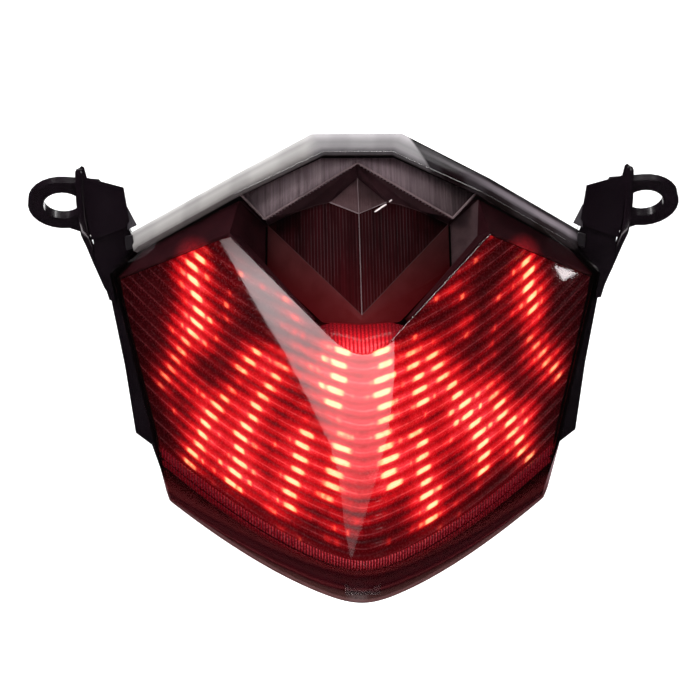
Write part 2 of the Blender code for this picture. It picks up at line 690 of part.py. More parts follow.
def build_red_optic():
    """Two main faces with a flattened ridge, and the small chin under the centre lens."""
    points, faces, inner = PointSet(), [], []
    side_z = SIDE_STATIONS[1]
    side_mid = (side_x(side_z) - OPTIC_SIDE_INSET, side_z)
    # (x, z, ahead) from the ridge along the crease and down the side
    upper = [
        (OPTIC_FLAT, crease_z(OPTIC_FLAT) - OPTIC_MARGIN, optic_face(OPTIC_FLAT, 0)),
        (CHIN_END_X, crease_z(CHIN_END_X) - OPTIC_MARGIN, optic_face(CHIN_END_X, 6)),
        (OPTIC_TOP_X, crease_z(OPTIC_TOP_X) - OPTIC_MARGIN, optic_face(OPTIC_TOP_X, 32)),
        (*OPTIC_SIDE_TOP, optic_face(*OPTIC_SIDE_TOP)),
        (*side_mid, optic_face(*side_mid)),
    ]
    lower = []
    for share in STEPS[:-2]:
        x, z = low_edge(BEAD, share)
        x, z = x * OPTIC_LOW_SCALE, z + OPTIC_MARGIN
        lower.append((x, z, optic_face(x, z)))
    low_x = OPTIC_FLAT * 0.6
    lower.append((low_x, BEAD_Z + 2.6, optic_face(low_x, BEAD_Z)))
    for side in (1, -1):
        face = [points.number(side * x, z, ahead) for x, z, ahead in upper + lower]
        chin_side = points.number(side * CHIN_TOP_SIDE[0], *CHIN_TOP_SIDE[1:])
        faces.append(face)
        inner.append((face[0], face[-1], face[1], chin_side))
    ridge_top = points.number(0, crease_z(0) + 2.0, optic_face(OPTIC_FLAT * 0.72, 0))
    ridge_low = points.number(0, BEAD_Z + OPTIC_MARGIN, optic_face(OPTIC_FLAT * 0.45, BEAD_Z))
    chin_top = points.number(*CHIN_TOP)
    right, left = inner
    right_top, right_low, right_chin_end, right_chin = right
    left_top, left_low, left_chin_end, left_chin = left
    faces += [
        [right_top, right_low, ridge_low, ridge_top],
        [left_top, ridge_top, ridge_low, left_low],
        # chin: leans back from the V point up to the centre lens
        [right_top, ridge_top, chin_top, right_chin],
        [right_top, right_chin, right_chin_end],
        [left_top, left_chin, chin_top, ridge_top],
        [left_top, left_chin_end, left_chin],
    ]
    draped("red_optic_lens", points.vectors(), faces, OPTIC_T, RED)


# ---------------------------------------------------------------- centre lens
KITE_T = 2.0
# right-hand corners (x, z, ahead)
KITE_CORNERS = {
    "top": (0, 51.0, 34.0),
    "apex": (0, 40.3, 43.5),
    "low": (0, 10.6, 61.5),
    "chin": (0, 8.2, 60.0),
    "shoulder": (8.1, 43.6, 39.0),
    "arc": (17.0, 41.2, 39.5),
    "wing": (26.4, 37.2, 37.0),
    "edge": (25.2, 22.8, 40.0),
    "foot": (9.2, 8.9, 56.0),
}
KITE_FACES = (
    "apex arc wing low",
    "wing edge foot chin low",
    "apex top shoulder",
    "apex shoulder arc",
)


def build_centre_lens():
    points = PointSet()
    faces = [
        face for side in (1, -1) for face in half_faces(points, KITE_CORNERS, KITE_FACES, side)
    ]
    draped("centre_lens", points.vectors(), faces, KITE_T, DARK_CLEAR)


# ---------------------------------------------------------------- roof trim
ROOF_T = 1.7
# (x, z, ahead): two centre points, then the right-hand edge
ROOF_CENTRE = [(0, 54.4, 34.6), (0, 55.9, 34.4)]
ROOF_EDGE = [(10.2, 55.7, 34.8), (33.2, 44.6, 41.4), (27.2, 39.4, 44.6)]


def build_roof():
    places = ROOF_CENTRE + ROOF_EDGE + [(-x, z, ahead) for x, z, ahead in ROOF_EDGE]
    points = [at(*place) for place in places]
    draped("roof_trim", points, [[0, 1, 2, 3, 4], [0, 7, 6, 5, 1]], ROOF_T, GREY)


# ---------------------------------------------------------------- inner bezel
BEZEL_T = 1.0
# right-hand corners (x, z, ahead)
BEZEL_CORNERS = {
    "shoulder": (35.2, 43.6, centre_facet(43.6) - 5.6),
    "crease": (38.4, crease_z(38.4) + 0.6, centre_facet(34.5) - 5.6),
    "end": (62.8, 29.2, border_facet(62.8, 29.2) - 5.2),
    "side": (69.2, 21.8, border_facet(69.2, 21.8) - 5.2),
    "vee": (14.0, crease_z(14.0) + 0.7, centre_facet(9.9) - 6.0),
    "wing": (28.2, 36.8, 34.0),
    "edge": (28.2, crease_z(28.2) + 0.5, 37.0),
    "foot": (13.2, crease_z(13.2) + 0.5, 50.0),
    "flat": (9.2, 55.4, 29.0),
    "far": (33.2, 43.4, 32.0),
}
BEZEL_FACES = (
    "shoulder end side crease",
    "crease vee foot edge",
    "shoulder crease edge wing",
    "shoulder wing far",
    "far wing flat",
)


def build_bezel():
    """Dark trim: the border strips beside the optic and the walls of the centre chamber."""
    points, faces = PointSet(), []
    for side in (1, -1):
        faces += half_faces(points, BEZEL_CORNERS, BEZEL_FACES, side)
    bridge = []
    for side, name in ((1, "flat"), (-1, "flat"), (-1, "wing"), (1, "wing")):
        x, z, ahead = BEZEL_CORNERS[name]
        bridge.append(points.number(side * x, z, ahead))
    faces.append(bridge)
    shell("inner_bezel", points.vectors(), faces, BEZEL_T, BEZEL)


# ---------------------------------------------------------------- LED boards and carrier
BOARD_SET, BOARD_T = 17.5, 2.06  # distance behind the main faces, thickness front to back
# right-hand board (x, z)
BOARD_OUTLINE = [
    (5.0, -50.0), (5.0, -8.5), (35.0, 21.5), (46.0, 26.0), (60.0, 19.5),
    (61.0, 10.0), (53.0, -28.0), (38.0, -40.5), (20.0, -48.0),
]
# right-hand LEDs (x, z)
LEDS = (
    (9.5, -9.0), (11.0, -35.0), (20.5, -10.0), (23.5, -40.0), (31.0, -8.0),
    (36.0, -27.0), (49.0, -24.0), (53.0, 18.0), (55.5, -2.0),
)
# (radius, height) from the seat; here and in every profile below
LED_PROFILE = [(0, 0), (2.8, 0), (2.8, 0.8), (2.35, 0.8), (2.35, 2.4), (1.5, 3.7), (0, 4.2)]
BOARD_SCREW_PROFILE = [
    (0, -5.2), (1.0, -5.2), (1.0, 0), (2.2, 0), (2.2, 0.9), (1.4, 1.4), (0, 1.4),
]
BOARD_HOLE_R, BOARD_HOLE_ENDS = 1.4, (-6, 3)
BOARD_PILOT_R, BOARD_PILOT_ENDS = 1.3, (-9, 2)

CARRIER_SET, CARRIER_T = 20.0, 2.0
CARRIER_SPINE = [(0, -53.0), (0, -14.0)]  # lower and upper centre points (x, z)
CARRIER_EDGE = [(38.0, 22.5), (60.5, 16.0), (54.0, -28.5), (36.0, -43.0), (20.0, -49.5)]
POST_R, POST_STEPS, POST_SINK = 3.8, 16, 1.2  # sink: post top behind the carrier face
POST_FOOT = FLOOR_FRONT + GAP
POST_PILOT_R, POST_PILOT_ENDS = 1.7, (-3, 8.5)
CARRIER_SCREW_PROFILE = [
    (0, -11.5), (1.4, -11.5), (1.4, 0), (3.2, 0), (3.2, 1.2), (2.2, 2.0), (0, 2.0),
]


def board_face(x, z):
    return main_face(x, z) - BOARD_SET


def carrier_face(x, z):
    return main_face(x, z) - CARRIER_SET


def board_normal(x):
    """Unit vector forward, square to the board on the side of x."""
    return Vector((math.copysign(MAIN_SLOPE, x), -1, -MAIN_LEAN)).normalized()


def drill_board_hole(obj, name, radius, ends, place, finish):
    seat = at(*place, board_face(*place))
    cut(obj, cylinder(name, radius, ends, seat, board_normal(place[0]), finish, 10))


def build_carrier():
    places = CARRIER_SPINE + CARRIER_EDGE + [(-x, z) for x, z in CARRIER_EDGE]
    points = [at(x, z, carrier_face(x, z)) for x, z in places]
    faces = [[0, 1, 2, 3, 4, 5, 6], [1, 0, 11, 10, 9, 8, 7]]
    carrier = shell("led_carrier", points, faces, CARRIER_T, GREY)
    turns = [math.tau * k / POST_STEPS for k in range(POST_STEPS)]
    for k, (x, z) in enumerate(both_sides(POSTS)):
        ring = [(x + POST_R * math.sin(turn), z + POST_R * math.cos(turn)) for turn in turns]
        post = pillar(
            "post_%d" % k, ring,
            lambda x, z: carrier_face(x, z) - POST_SINK, lambda x, z: POST_FOOT, GREY,
        )
        join(carrier, post)
        foot = at(x, z, POST_FOOT)
        name = "pilot_%d" % k
        cut(carrier, cylinder(name, POST_PILOT_R, POST_PILOT_ENDS, foot, FRONT, GREY, 12))
    for k, place in enumerate(both_sides(BOARD_SCREWS)):
        name = "board_pilot_%d" % k
        drill_board_hole(carrier, name, BOARD_PILOT_R, BOARD_PILOT_ENDS, place, GREY)


def stand_on_board(name, profile, place, finish, steps):
    """A turned piece standing off the board face by the clearance."""
    normal = board_normal(place[0])
    seat = at(*place, board_face(*place)) + normal * (GAP / 1000)
    lathe(name, profile, seat, normal, finish, steps)


def build_boards():
    for side, tag in SIDES:
        outline = BOARD_OUTLINE if side > 0 else mirrored(BOARD_OUTLINE)
        name = "led_board_" + tag
        board = pillar(name, outline, board_face, lambda x, z: board_face(x, z) - BOARD_T, BOARD)
        for k, (x, z) in enumerate(BOARD_SCREWS):
            place = (side * x, z)
            name = "board_hole_%s_%d" % (tag, k)
            drill_board_hole(board, name, BOARD_HOLE_R, BOARD_HOLE_ENDS, place, BOARD)
            name = "board_screw_%s_%d" % (tag, k + 1)
            stand_on_board(name, BOARD_SCREW_PROFILE, place, STEEL, 10)
        for k, (x, z) in enumerate(LEDS):
            stand_on_board("led_%s_%d" % (tag, k + 1), LED_PROFILE, (side * x, z), RED, 12)


def build_carrier_screws():
    """Screws driven from the back, through the floor into the carrier posts."""
    for k, place in enumerate(both_sides(POSTS)):
        seat = at(*place, FLOOR_BACK - GAP)
        lathe("carrier_screw_%d" % (k + 1), CARRIER_SCREW_PROFILE, seat, BACK, STEEL, 12)


# ---------------------------------------------------------------- bulb holder
# heights are "ahead": the grip stub behind the housing, the flange, the neck through the hole
CUP_R, CUP_FLOOR, NECK_FRONT = 6.4, 2.5, 13.0
HOLDER_PROFILE = [
    (0, -15.0), (7.2, -15.0), (7.8, -14.4), (7.8, -1.2),
    (SOCKET_FLANGE_R, -1.2), (SOCKET_FLANGE_R, 0.8), (SOCKET_R, 0.8), (SOCKET_R, NECK_FRONT),
    (CUP_R, NECK_FRONT), (CUP_R, CUP_FLOOR), (0, CUP_FLOOR),
]
BORE_ENDS = (2.6, 14)
LUG_ENDS = (FLOOR_FRONT + 0.35, FLOOR_FRONT + 2.6)
GRIP_SIZE, GRIP_AHEAD = (23.0, 3.6, 12.6), -7.9
SEAL_PROFILE = [(10.7, 1.1), (13.4, 1.1), (13.4, 2.7), (10.7, 2.7)]
BULB_PROFILE = [
    (0, 4.2), (5.0, 4.2), (5.0, 12.0), (7.2, 16.0), (7.4, 27.0), (6.2, 31.5), (3.4, 34.2), (0, 35.0),
]
CONTACT_SIZE, CONTACT_X, CONTACT_AHEAD = (0.5, 2.6, 6.4), 5.75, 8.4


def build_bulb_holder():
    centre = at(*SOCKET, 0)
    holder = lathe("bulb_holder", HOLDER_PROFILE, centre, FRONT, GREY, 28)
    lugs = socket_spokes("holder_lug", LUG_START, LUG_R, LUG_WIDTH, LUG_R / 2, LUG_ENDS, GREY)
    for lug in lugs:
        join(holder, lug)
    # clears the inner ends of the lugs out of the cup
    cut(holder, cylinder("holder_bore", CUP_R, BORE_ENDS, centre, FRONT, GREY, 28))
    join(holder, block("holder_grip", GRIP_SIZE, GREY, (*SOCKET, GRIP_AHEAD)))
    seal = lathe("holder_seal", SEAL_PROFILE, centre, FRONT, RUBBER, 28)
    bulb = lathe("bulb", BULB_PROFILE, centre, FRONT, CLEAR, 20)
    pieces = [holder, seal, bulb]
    for k, side in ((1, 1), (2, -1)):
        place = (SOCKET[0] + side * CONTACT_X, SOCKET[1], CONTACT_AHEAD)
        pieces.append(block("holder_contact_%d" % k, CONTACT_SIZE, BRASS, place))
    hang_on_pivot("bulb_holder_axis", at(*SOCKET, FLOOR_BACK), pieces)


# ---------------------------------------------------------------- plate light
WINDOW_CLEARANCE, WINDOW_ENDS = 0.4, (54.8, 57.6)
PLATE_BOARD_SIZE, PLATE_BOARD_PLACE = (13.0, 6.0, 1.2), (0, -67.6, 46.2)
PLATE_LED_Z = -68.4
PLATE_LED_PROFILE = [(0, 0), (1.9, 0), (1.9, 1.0), (1.3, 1.9), (0, 2.2)]


def build_plate_light():
    """Window in the lower lip of the lens, with a small board and LED behind it."""
    window = rectangle(
        WINDOW_HALF - WINDOW_CLEARANCE,
        WINDOW_TOP - WINDOW_CLEARANCE,
        WINDOW_BOTTOM + WINDOW_CLEARANCE,
    )
    prism("plate_window", window, *WINDOW_ENDS, CLEAR)
    block("plate_led_board", PLATE_BOARD_SIZE, BOARD, PLATE_BOARD_PLACE)
    seat = at(0, PLATE_LED_Z, PLATE_BOARD_PLACE[2] + PLATE_BOARD_SIZE[2] / 2 + GAP)
    lathe("plate_led", PLATE_LED_PROFILE, seat, FRONT, CLEAR, 12)


# ---------------------------------------------------------------- harness
CONNECTOR = (0.0, -61.0, -14.0)  # centre of the connector body (x, z, ahead)
CONNECTOR_Z, CONNECTOR_AHEAD = CONNECTOR[1:]
WIRE_R, WIRE_SPAN_STEPS = 0.6, 3
WIRE_PITCH, BORE_SPREAD = 2.2, 0.85  # the wires run closer together in the grommet
WIRE_OFFSETS = (-WIRE_PITCH, 0.0, WIRE_PITCH)
WIRES = (("wire_ground", WIRE_BLACK), ("wire_tail", WIRE_RED), ("wire_stop", WIRE_YELLOW))
# share of the pitch, z, ahead
WIRE_ROUTE = (
    (BORE_SPREAD, GROMMET[1], 9.5),
    (BORE_SPREAD, GROMMET[1], 3.0),
    (BORE_SPREAD, GROMMET[1] - 0.4, -6.0),
    (0.9, GROMMET[1] - 4.5, -12.6),
    (1, GROMMET[1] - 11.0, CONNECTOR_AHEAD),
    (1, CONNECTOR_Z + 12.4, CONNECTOR_AHEAD),
    (1, CONNECTOR_Z + 2.1, CONNECTOR_AHEAD),
)
GROMMET_PROFILE = [
    (0, -1.6), (5.4, -1.6), (6.6, -0.6), (6.6, 2.7), (4.3, 2.7),
    (4.3, 5.8), (5.6, 5.8), (5.2, 7.2), (0, 7.2),
]
GROMMET_BORE_R, GROMMET_BORE_ENDS = 0.9, (-4, 10)

# sizes (x, z, ahead); "up" and "ahead" are from the centre of the connector
BODY_SIZE = (12.0, 17.0, 8.0)
MOUTH_SIZE, MOUTH_UP = (9.4, 9.0, 4.4), -6.0
CAVITY_SIZE, CAVITY_UP = (1.8, 30.0, 1.8), 4
TERMINAL_SIZE, TERMINAL_UP = (1.0, 8.0, 0.8), -2.2
FULCRUM_SIZE, FULCRUM_UP, FULCRUM_AHEAD = (5.0, 2.4, 1.6), 1.0, -4.4
LATCH_SIZE, LATCH_UP, LATCH_AHEAD = (5.0, 17.0, 1.2), -1.0, -6.1
HOOK_SIZE, HOOK_UP, HOOK_AHEAD = (5.0, 1.6, 2.0), -8.7, -5.2


def by_connector(right=0, up=0, ahead=0):
    return CONNECTOR[0] + right, CONNECTOR_Z + up, CONNECTOR_AHEAD + ahead


def build_wires():
    for (name, finish), shift in zip(WIRES, WIRE_OFFSETS):
        route = [at(GROMMET[0] + shift * share, z, ahead) for share, z, ahead in WIRE_ROUTE]
        sweep(name, smooth_path(route, WIRE_SPAN_STEPS), WIRE_R, finish)


def build_grommet():
    grommet = lathe("wire_grommet", GROMMET_PROFILE, at(*GROMMET, 0), FRONT, RUBBER, 20)
    for k, shift in enumerate(WIRE_OFFSETS):
        name = "grommet_bore_%d" % k
        centre = at(GROMMET[0] + shift * BORE_SPREAD, GROMMET[1], 0)
        bore = cylinder(name, GROMMET_BORE_R, GROMMET_BORE_ENDS, centre, FRONT, RUBBER, 10)
        cut(grommet, bore)


def build_connector():
    """Connector body, open at its lower end, with a terminal on each wire."""
    body = block("connector_body", BODY_SIZE, BLACK, CONNECTOR)
    cut(body, block("connector_mouth", MOUTH_SIZE, BLACK, by_connector(up=MOUTH_UP)))
    for k, shift in enumerate(WIRE_OFFSETS):
        cut(body, block("cavity_%d" % k, CAVITY_SIZE, BLACK, by_connector(shift, CAVITY_UP)))
        place = by_connector(shift, TERMINAL_UP)
        block("terminal_%d" % (k + 1), TERMINAL_SIZE, BRASS, place)
    place = by_connector(up=FULCRUM_UP, ahead=FULCRUM_AHEAD)
    join(body, block("latch_fulcrum", FULCRUM_SIZE, BLACK, place))


def build_latch():
    """Latch lever: thumb end up, hook over the open end; it rocks on the fulcrum."""
    place = by_connector(up=LATCH_UP, ahead=LATCH_AHEAD)
    latch = block("connector_latch", LATCH_SIZE, BLACK, place)
    place = by_connector(up=HOOK_UP, ahead=HOOK_AHEAD)
    join(latch, block("latch_hook", HOOK_SIZE, BLACK, place))
    axis = at(*by_connector(up=FULCRUM_UP, ahead=LATCH_AHEAD))
    hang_on_pivot("latch_axis", axis, [latch])


# ---------------------------------------------------------------- breather and driver
BREATHER_PROFILE = [
    (0, -2.2), (3.4, -2.2), (3.8, -1.6), (3.8, 2.7), (1.9, 2.7),
    (1.9, 6.5), (1.1, 6.5), (1.1, 3.2), (0, 3.2),
]
DRIVER_SIZE, DRIVER_PLACE, DRIVER_CHAMFER = (16.0, 9.0, 5.0), (-16.0, -34.0, 8.6), 0.5


def build_breather_cap():
    lathe("breather_cap", BREATHER_PROFILE, at(*VENT, 0), FRONT, RUBBER, 16)


def build_driver_module():
    block("driver_module", DRIVER_SIZE, BLACK, DRIVER_PLACE, DRIVER_CHAMFER)


def main():
    clear_scene()
    build_housing()
    build_gasket()
    build_outer_lens()
    build_red_optic()
    build_centre_lens()
    build_roof()
    build_bezel()
    build_carrier()
    build_boards()
    build_carrier_screws()
    build_bulb_holder()
    build_plate_light()
    build_wires()
    build_grommet()
    build_connector()
    build_latch()
    build_breather_cap()
    build_driver_module()


main()
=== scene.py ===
# Motorcycle tail light: smoked outer lens over a ribbed red optic and a fluted centre chamber,
# with ear plates beside it, standing over a pale floor.
# Shapes are given in millimetres as (x, z, forward): x to the right, z up and forward the distance
# in front of the rear pad, towards -Y. at() turns them into metres. The lens faces -Y.
import math

import bmesh
import bpy
import numpy as np
from mathutils import Matrix, Vector


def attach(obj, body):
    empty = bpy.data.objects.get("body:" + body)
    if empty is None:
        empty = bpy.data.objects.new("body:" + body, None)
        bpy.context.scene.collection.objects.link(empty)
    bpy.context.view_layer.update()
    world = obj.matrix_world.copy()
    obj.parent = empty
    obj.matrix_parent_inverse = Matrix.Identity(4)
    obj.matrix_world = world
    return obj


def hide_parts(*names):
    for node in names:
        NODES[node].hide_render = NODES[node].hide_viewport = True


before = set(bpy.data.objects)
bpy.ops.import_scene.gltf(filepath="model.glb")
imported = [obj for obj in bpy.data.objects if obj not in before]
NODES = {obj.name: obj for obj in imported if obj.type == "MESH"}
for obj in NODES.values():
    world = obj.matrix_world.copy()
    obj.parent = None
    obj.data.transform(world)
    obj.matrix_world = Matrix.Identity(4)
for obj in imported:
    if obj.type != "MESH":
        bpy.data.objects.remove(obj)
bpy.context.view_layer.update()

BODY = "lamp_body"
rng = np.random.default_rng(20)


def at(x, z, forward):
    return Vector((x / 1000, -forward / 1000, z / 1000))


def mirror(point, side):
    """The (x, z, forward) point itself for side 1, its mirror image for side -1."""
    return (side * point[0], point[1], point[2])


# ------------------------------------------------------------------ lens shape (as in the CAD)
# the two main faces: forward at the origin, falling back with |x|, leaning with z
MAIN_FORWARD, MAIN_SLOPE, MAIN_LEAN = 78.5, 0.795, 0.177
CENTRE_FORWARD, CENTRE_LEAN = 74.67, 0.605  # the centre facet above the V
# corners of the right half, as (x, z)
TOP_FLAT, SHOULDER, TOP_END = (10.4, 59.0), (36.7, 46.5), (66.1, 30.9)
SIDE_TOP, SIDE_LOW = (74.0, 21.8), (61.5, -30.5)
SIDE_HEIGHTS = (14.3, -5.6, -26.2)  # z of the points between them
CREASE_TOP = 38.2  # x of the upper end of the V
# lower edges: (x, z) of the corner, z in the middle
BEAD = (SIDE_LOW, -61.5)
LIP_MID = ((58.3, -43.6), -65.6)
LIP_LOW = ((57.4, -46.9), -74.4)
BEAD_Z = BEAD[1]
LIP_STEP = 3.0  # each row of the lip stands this far behind the one above
LIP_SOFT = 0.155  # share of the half width over which the lip turns in the middle
RIDGE = 9.5  # half width of the rounded ridge between the main faces
LENS_WALL = 1.1
RIDGE_STEPS, SIDE_STEPS = 14, 22


def main_face(x, z):
    return MAIN_FORWARD - MAIN_SLOPE * abs(x) + MAIN_LEAN * z


def lens_face(x, z):
    """The main faces with their rounded ridge."""
    if abs(x) >= RIDGE:
        return main_face(x, z)
    return MAIN_FORWARD - MAIN_SLOPE * (x * x / (2 * RIDGE) + RIDGE / 2) + MAIN_LEAN * z


def centre_facet(z):
    return CENTRE_FORWARD - CENTRE_LEAN * z


def crease_z(x):
    """Height at which the centre facet meets the main faces, left sharp in the middle."""
    return (MAIN_SLOPE * abs(x) - MAIN_FORWARD + CENTRE_FORWARD) / (MAIN_LEAN + CENTRE_LEAN)


def vee_z(x):
    """The same height on the rounded ridge."""
    return (CENTRE_FORWARD - lens_face(x, 0)) / (MAIN_LEAN + CENTRE_LEAN)


def border_facet(x, z):
    """Plane through the top of the crease, the shoulder and the top of the side."""
    top_z = crease_z(CREASE_TOP)
    crease = Vector((CREASE_TOP, top_z, centre_facet(top_z)))
    shoulder = Vector((*SHOULDER, centre_facet(SHOULDER[1])))
    side = Vector((*SIDE_TOP, main_face(*SIDE_TOP)))
    normal = (shoulder - crease).cross(side - crease)
    return crease.z - (normal.x * (abs(x) - crease.x) + normal.y * (z - crease.y)) / normal.z


def rim(x):
    return 26.0 - 0.19 * abs(x)


def rise(share):
    """The share**1.5 sweep of the lower edges, softened where the two halves meet."""
    soft = 0.08
    start = soft**1.5
    return ((share * share + soft * soft) ** 0.75 - start) / ((1 + soft * soft) ** 0.75 - start)


def lower_edge(edge, share):
    """(x, z) on a lower edge, share 0 in the middle and 1 at the corner."""
    corner, middle_z = edge
    return corner[0] * share, middle_z + (corner[1] - middle_z) * rise(share)


def lip_turn(share):
    """Share along the lip, rounded off in the middle."""
    return share - LIP_SOFT / 2 if share > LIP_SOFT else share * share / (2 * LIP_SOFT)


def side_x(z):
    share = (z - SIDE_LOW[1]) / (SIDE_TOP[1] - SIDE_LOW[1])
    return SIDE_LOW[0] + share * (SIDE_TOP[0] - SIDE_LOW[0])


# ------------------------------------------------------------------ node helpers
class Shader:
    """Short calls for a node tree. They return output sockets."""

    def __init__(self, owner, output):
        self.owner = owner
        owner.use_nodes = True
        self.tree = owner.node_tree
        self.tree.nodes.clear()
        self.output = self.tree.nodes.new(output)

    def put(self, socket, value):
        if isinstance(value, bpy.types.NodeSocket):
            self.tree.links.new(value, socket)
        elif isinstance(value, tuple) and socket.type == "RGBA":
            socket.default_value = (*value, 1)
        else:
            socket.default_value = value

    def node(self, kind, *values, out=0, settings=None, **inputs):
        """values fill the first inputs; in a named input a double underscore is a space."""
        node = self.tree.nodes.new("ShaderNode" + kind)
        for key, value in (settings or {}).items():
            setattr(node, key, value)
        for index, value in enumerate(values):
            self.put(node.inputs[index], value)
        for key, value in inputs.items():
            self.put(node.inputs[key.replace("__", " ")], value)
        return node.outputs[out]

    def math(self, operation, *values):
        return self.node("Math", *values, settings=dict(operation=operation))

    def add(self, first, second):
        return self.math("ADD", first, second)

    def multiply(self, first, second):
        return self.math("MULTIPLY", first, second)

    def magnitude(self, value):
        return self.math("ABSOLUTE", value)

    def scale_add(self, value, scale, offset):
        return self.math("MULTIPLY_ADD", value, scale, offset)

    def swing(self, value, amount):
        """A 0 to 1 pattern centred on zero and scaled."""
        return self.multiply(self.math("SUBTRACT", value, 0.5), amount)

    def coords(self):
        return self.node("TexCoord", out="Object")

    def position(self, vector=None):
        """The x, y and z outputs of the object coordinates, in metres."""
        vector = self.coords() if vector is None else vector
        return self.node("SeparateXYZ", Vector=vector).node.outputs

    def squeezed(self, share):
        """Coordinates that stretch a pattern along y and z."""
        return self.node("Mapping", Vector=self.coords(), Scale=(1.0, share, share))

    def noise(self, scale, detail=3.0, rough=0.5, vector=None):
        vector = self.coords() if vector is None else vector
        return self.node(
            "TexNoise", out="Fac", Scale=scale, Detail=detail, Roughness=rough, Vector=vector
        )

    def bands(self, scale, distortion, detail):
        return self.node(
            "TexWave", out="Fac", Scale=scale, Distortion=distortion, Detail=detail,
            Vector=self.coords(),
        )

    def ramp(self, fac, stops):
        """stops: (position, colour)."""
        output = self.node("ValToRGB", fac, out="Color")
        elements = output.node.color_ramp.elements
        while len(elements) < len(stops):
            elements.new(0.5)
        for element, (position, colour) in zip(elements, stops):
            element.position = position
            element.color = (*colour, 1)
        return output

    def mottle(self, fac, low, high):
        return self.ramp(fac, [(0.3, low), (0.7, high)])

    def remap(self, value, over=(0.3, 0.7), to=(0.0, 1.0), linear=False):
        kind = "LINEAR" if linear else "SMOOTHSTEP"
        settings = dict(interpolation_type=kind)
        return self.node("MapRange", value, *over, *to, out="Result", settings=settings)

    def attribute(self, name):
        settings = dict(attribute_type="GEOMETRY", attribute_name=name)
        return self.node("Attribute", out="Fac", settings=settings)

    def mix(self, factor, first, second, blend="MIX"):
        """Colour mix: sockets 6 and 7 are the two colours, output 2 the result."""
        settings = dict(data_type="RGBA", blend_type=blend)
        output = self.node("Mix", factor, out=2, settings=settings)
        self.put(output.node.inputs[6], first)
        self.put(output.node.inputs[7], second)
        return output

    def bump(self, height, strength):
        return self.node("Bump", Strength=strength, Distance=0.0001, Height=height)

    def facing_back(self):
        return self.node("NewGeometry", out="Backfacing")

    def principled(self, colour, rough, **inputs):
        return self.node("BsdfPrincipled", Base__Color=colour, Roughness=rough, **inputs)

    def polished(self, body, rough, colour):
        """body under a mirror layer that strengthens at grazing angles, weak from behind."""
        facing = self.node("LayerWeight", out="Facing", Blend=0.5)
        schlick = self.scale_add(self.math("POWER", facing, 5.0), scale=0.96, offset=0.04)
        front = self.remap(self.facing_back(), over=(0.0, 1.0), to=(1.0, 0.15), linear=True)
        gloss = self.node("BsdfGlossy", Color=colour, Roughness=rough)
        return self.node("MixShader", self.multiply(schlick, front), body, gloss)

    def surface(self, shader):
        self.put(self.output.inputs["Surface"], shader)
        return self.owner


def new_material(name):
    return Shader(bpy.data.materials.new(name), "ShaderNodeOutputMaterial")


def scaled(colour, gain):
    return tuple(min(1.0, max(0.0, channel * gain)) for channel in colour)


# ------------------------------------------------------------------ materials
DUST = (0.25, 0.24, 0.23)


def moulded(
    name, colour, rough, vary=0.25, grain=900.0, bump=0.12, metallic=0.0, coat=0.0, dusty=0.06
):
    """Moulded plastic or metal: mottled, with faint flow marks, fine grain and a little dust."""
    mat = new_material(name)
    broad = mat.noise(scale=60, detail=4, rough=0.6)
    fine = mat.noise(scale=grain, rough=0.55)
    flow = mat.bands(scale=35.0, distortion=6.0, detail=3.0)
    base = mat.mottle(broad, scaled(colour, 1 - vary), scaled(colour, 1 + vary))
    speck = mat.remap(fine, over=(0.62, 0.8), to=(0.0, dusty))
    patchy = mat.remap(broad, to=(rough * 0.85, rough * 1.15), linear=True)
    height = mat.add(fine, mat.multiply(flow, 0.3))
    return mat.surface(mat.principled(
        mat.mix(speck, base, DUST), mat.add(patchy, mat.swing(flow, rough * 0.25)),
        Metallic=metallic, Coat__Weight=coat, Coat__Roughness=0.08,
        Normal=mat.bump(height, bump),
    ))


def smoked(name, tint, haze=0.0, haze_colour=(0.5, 0.5, 0.52), rough=0.02):
    """Clear plastic tinted by smoke, with a mirror layer on top."""
    mat = new_material(name)
    cloud = mat.remap(mat.noise(scale=45), over=(0.35, 0.65), to=(0.0, 0.10), linear=True)
    body = mat.node("BsdfTransparent", mat.mix(cloud, tint, scaled(tint, 0.8)))
    if haze:
        share = mat.remap(mat.noise(scale=120), to=(haze * 0.7, haze * 1.3), linear=True)
        body = mat.node("MixShader", share, body, mat.node("BsdfDiffuse", haze_colour))
    scratch = mat.noise(scale=700, detail=4, rough=0.7)
    scratch = mat.remap(scratch, over=(0.4, 0.75), to=(rough, rough * 2.5), linear=True)
    return mat.surface(mat.polished(body, rough=scratch, colour=(1, 1, 1)))


# colours of the lip against half its "down" attribute: 0 at the bead, 1 at the bottom
LIP_TINT = [
    (0.0, (0.80, 0.74, 0.75)), (0.30, (0.62, 0.50, 0.52)),
    (0.5, (0.40, 0.27, 0.28)), (1.0, (0.30, 0.18, 0.18)),
]
LIP_DULL = [
    (0.0, (0.12, 0.005, 0.009)), (0.44, (0.11, 0.012, 0.014)), (0.52, (0.030, 0.002, 0.004)),
    (0.62, (0.055, 0.008, 0.010)), (0.72, (0.040, 0.003, 0.006)), (0.77, (0.13, 0.016, 0.020)),
    (0.80, (0.03, 0.002, 0.004)), (0.84, (0.075, 0.024, 0.023)), (0.93, (0.10, 0.040, 0.037)),
    (1.0, (0.13, 0.060, 0.055)),
]


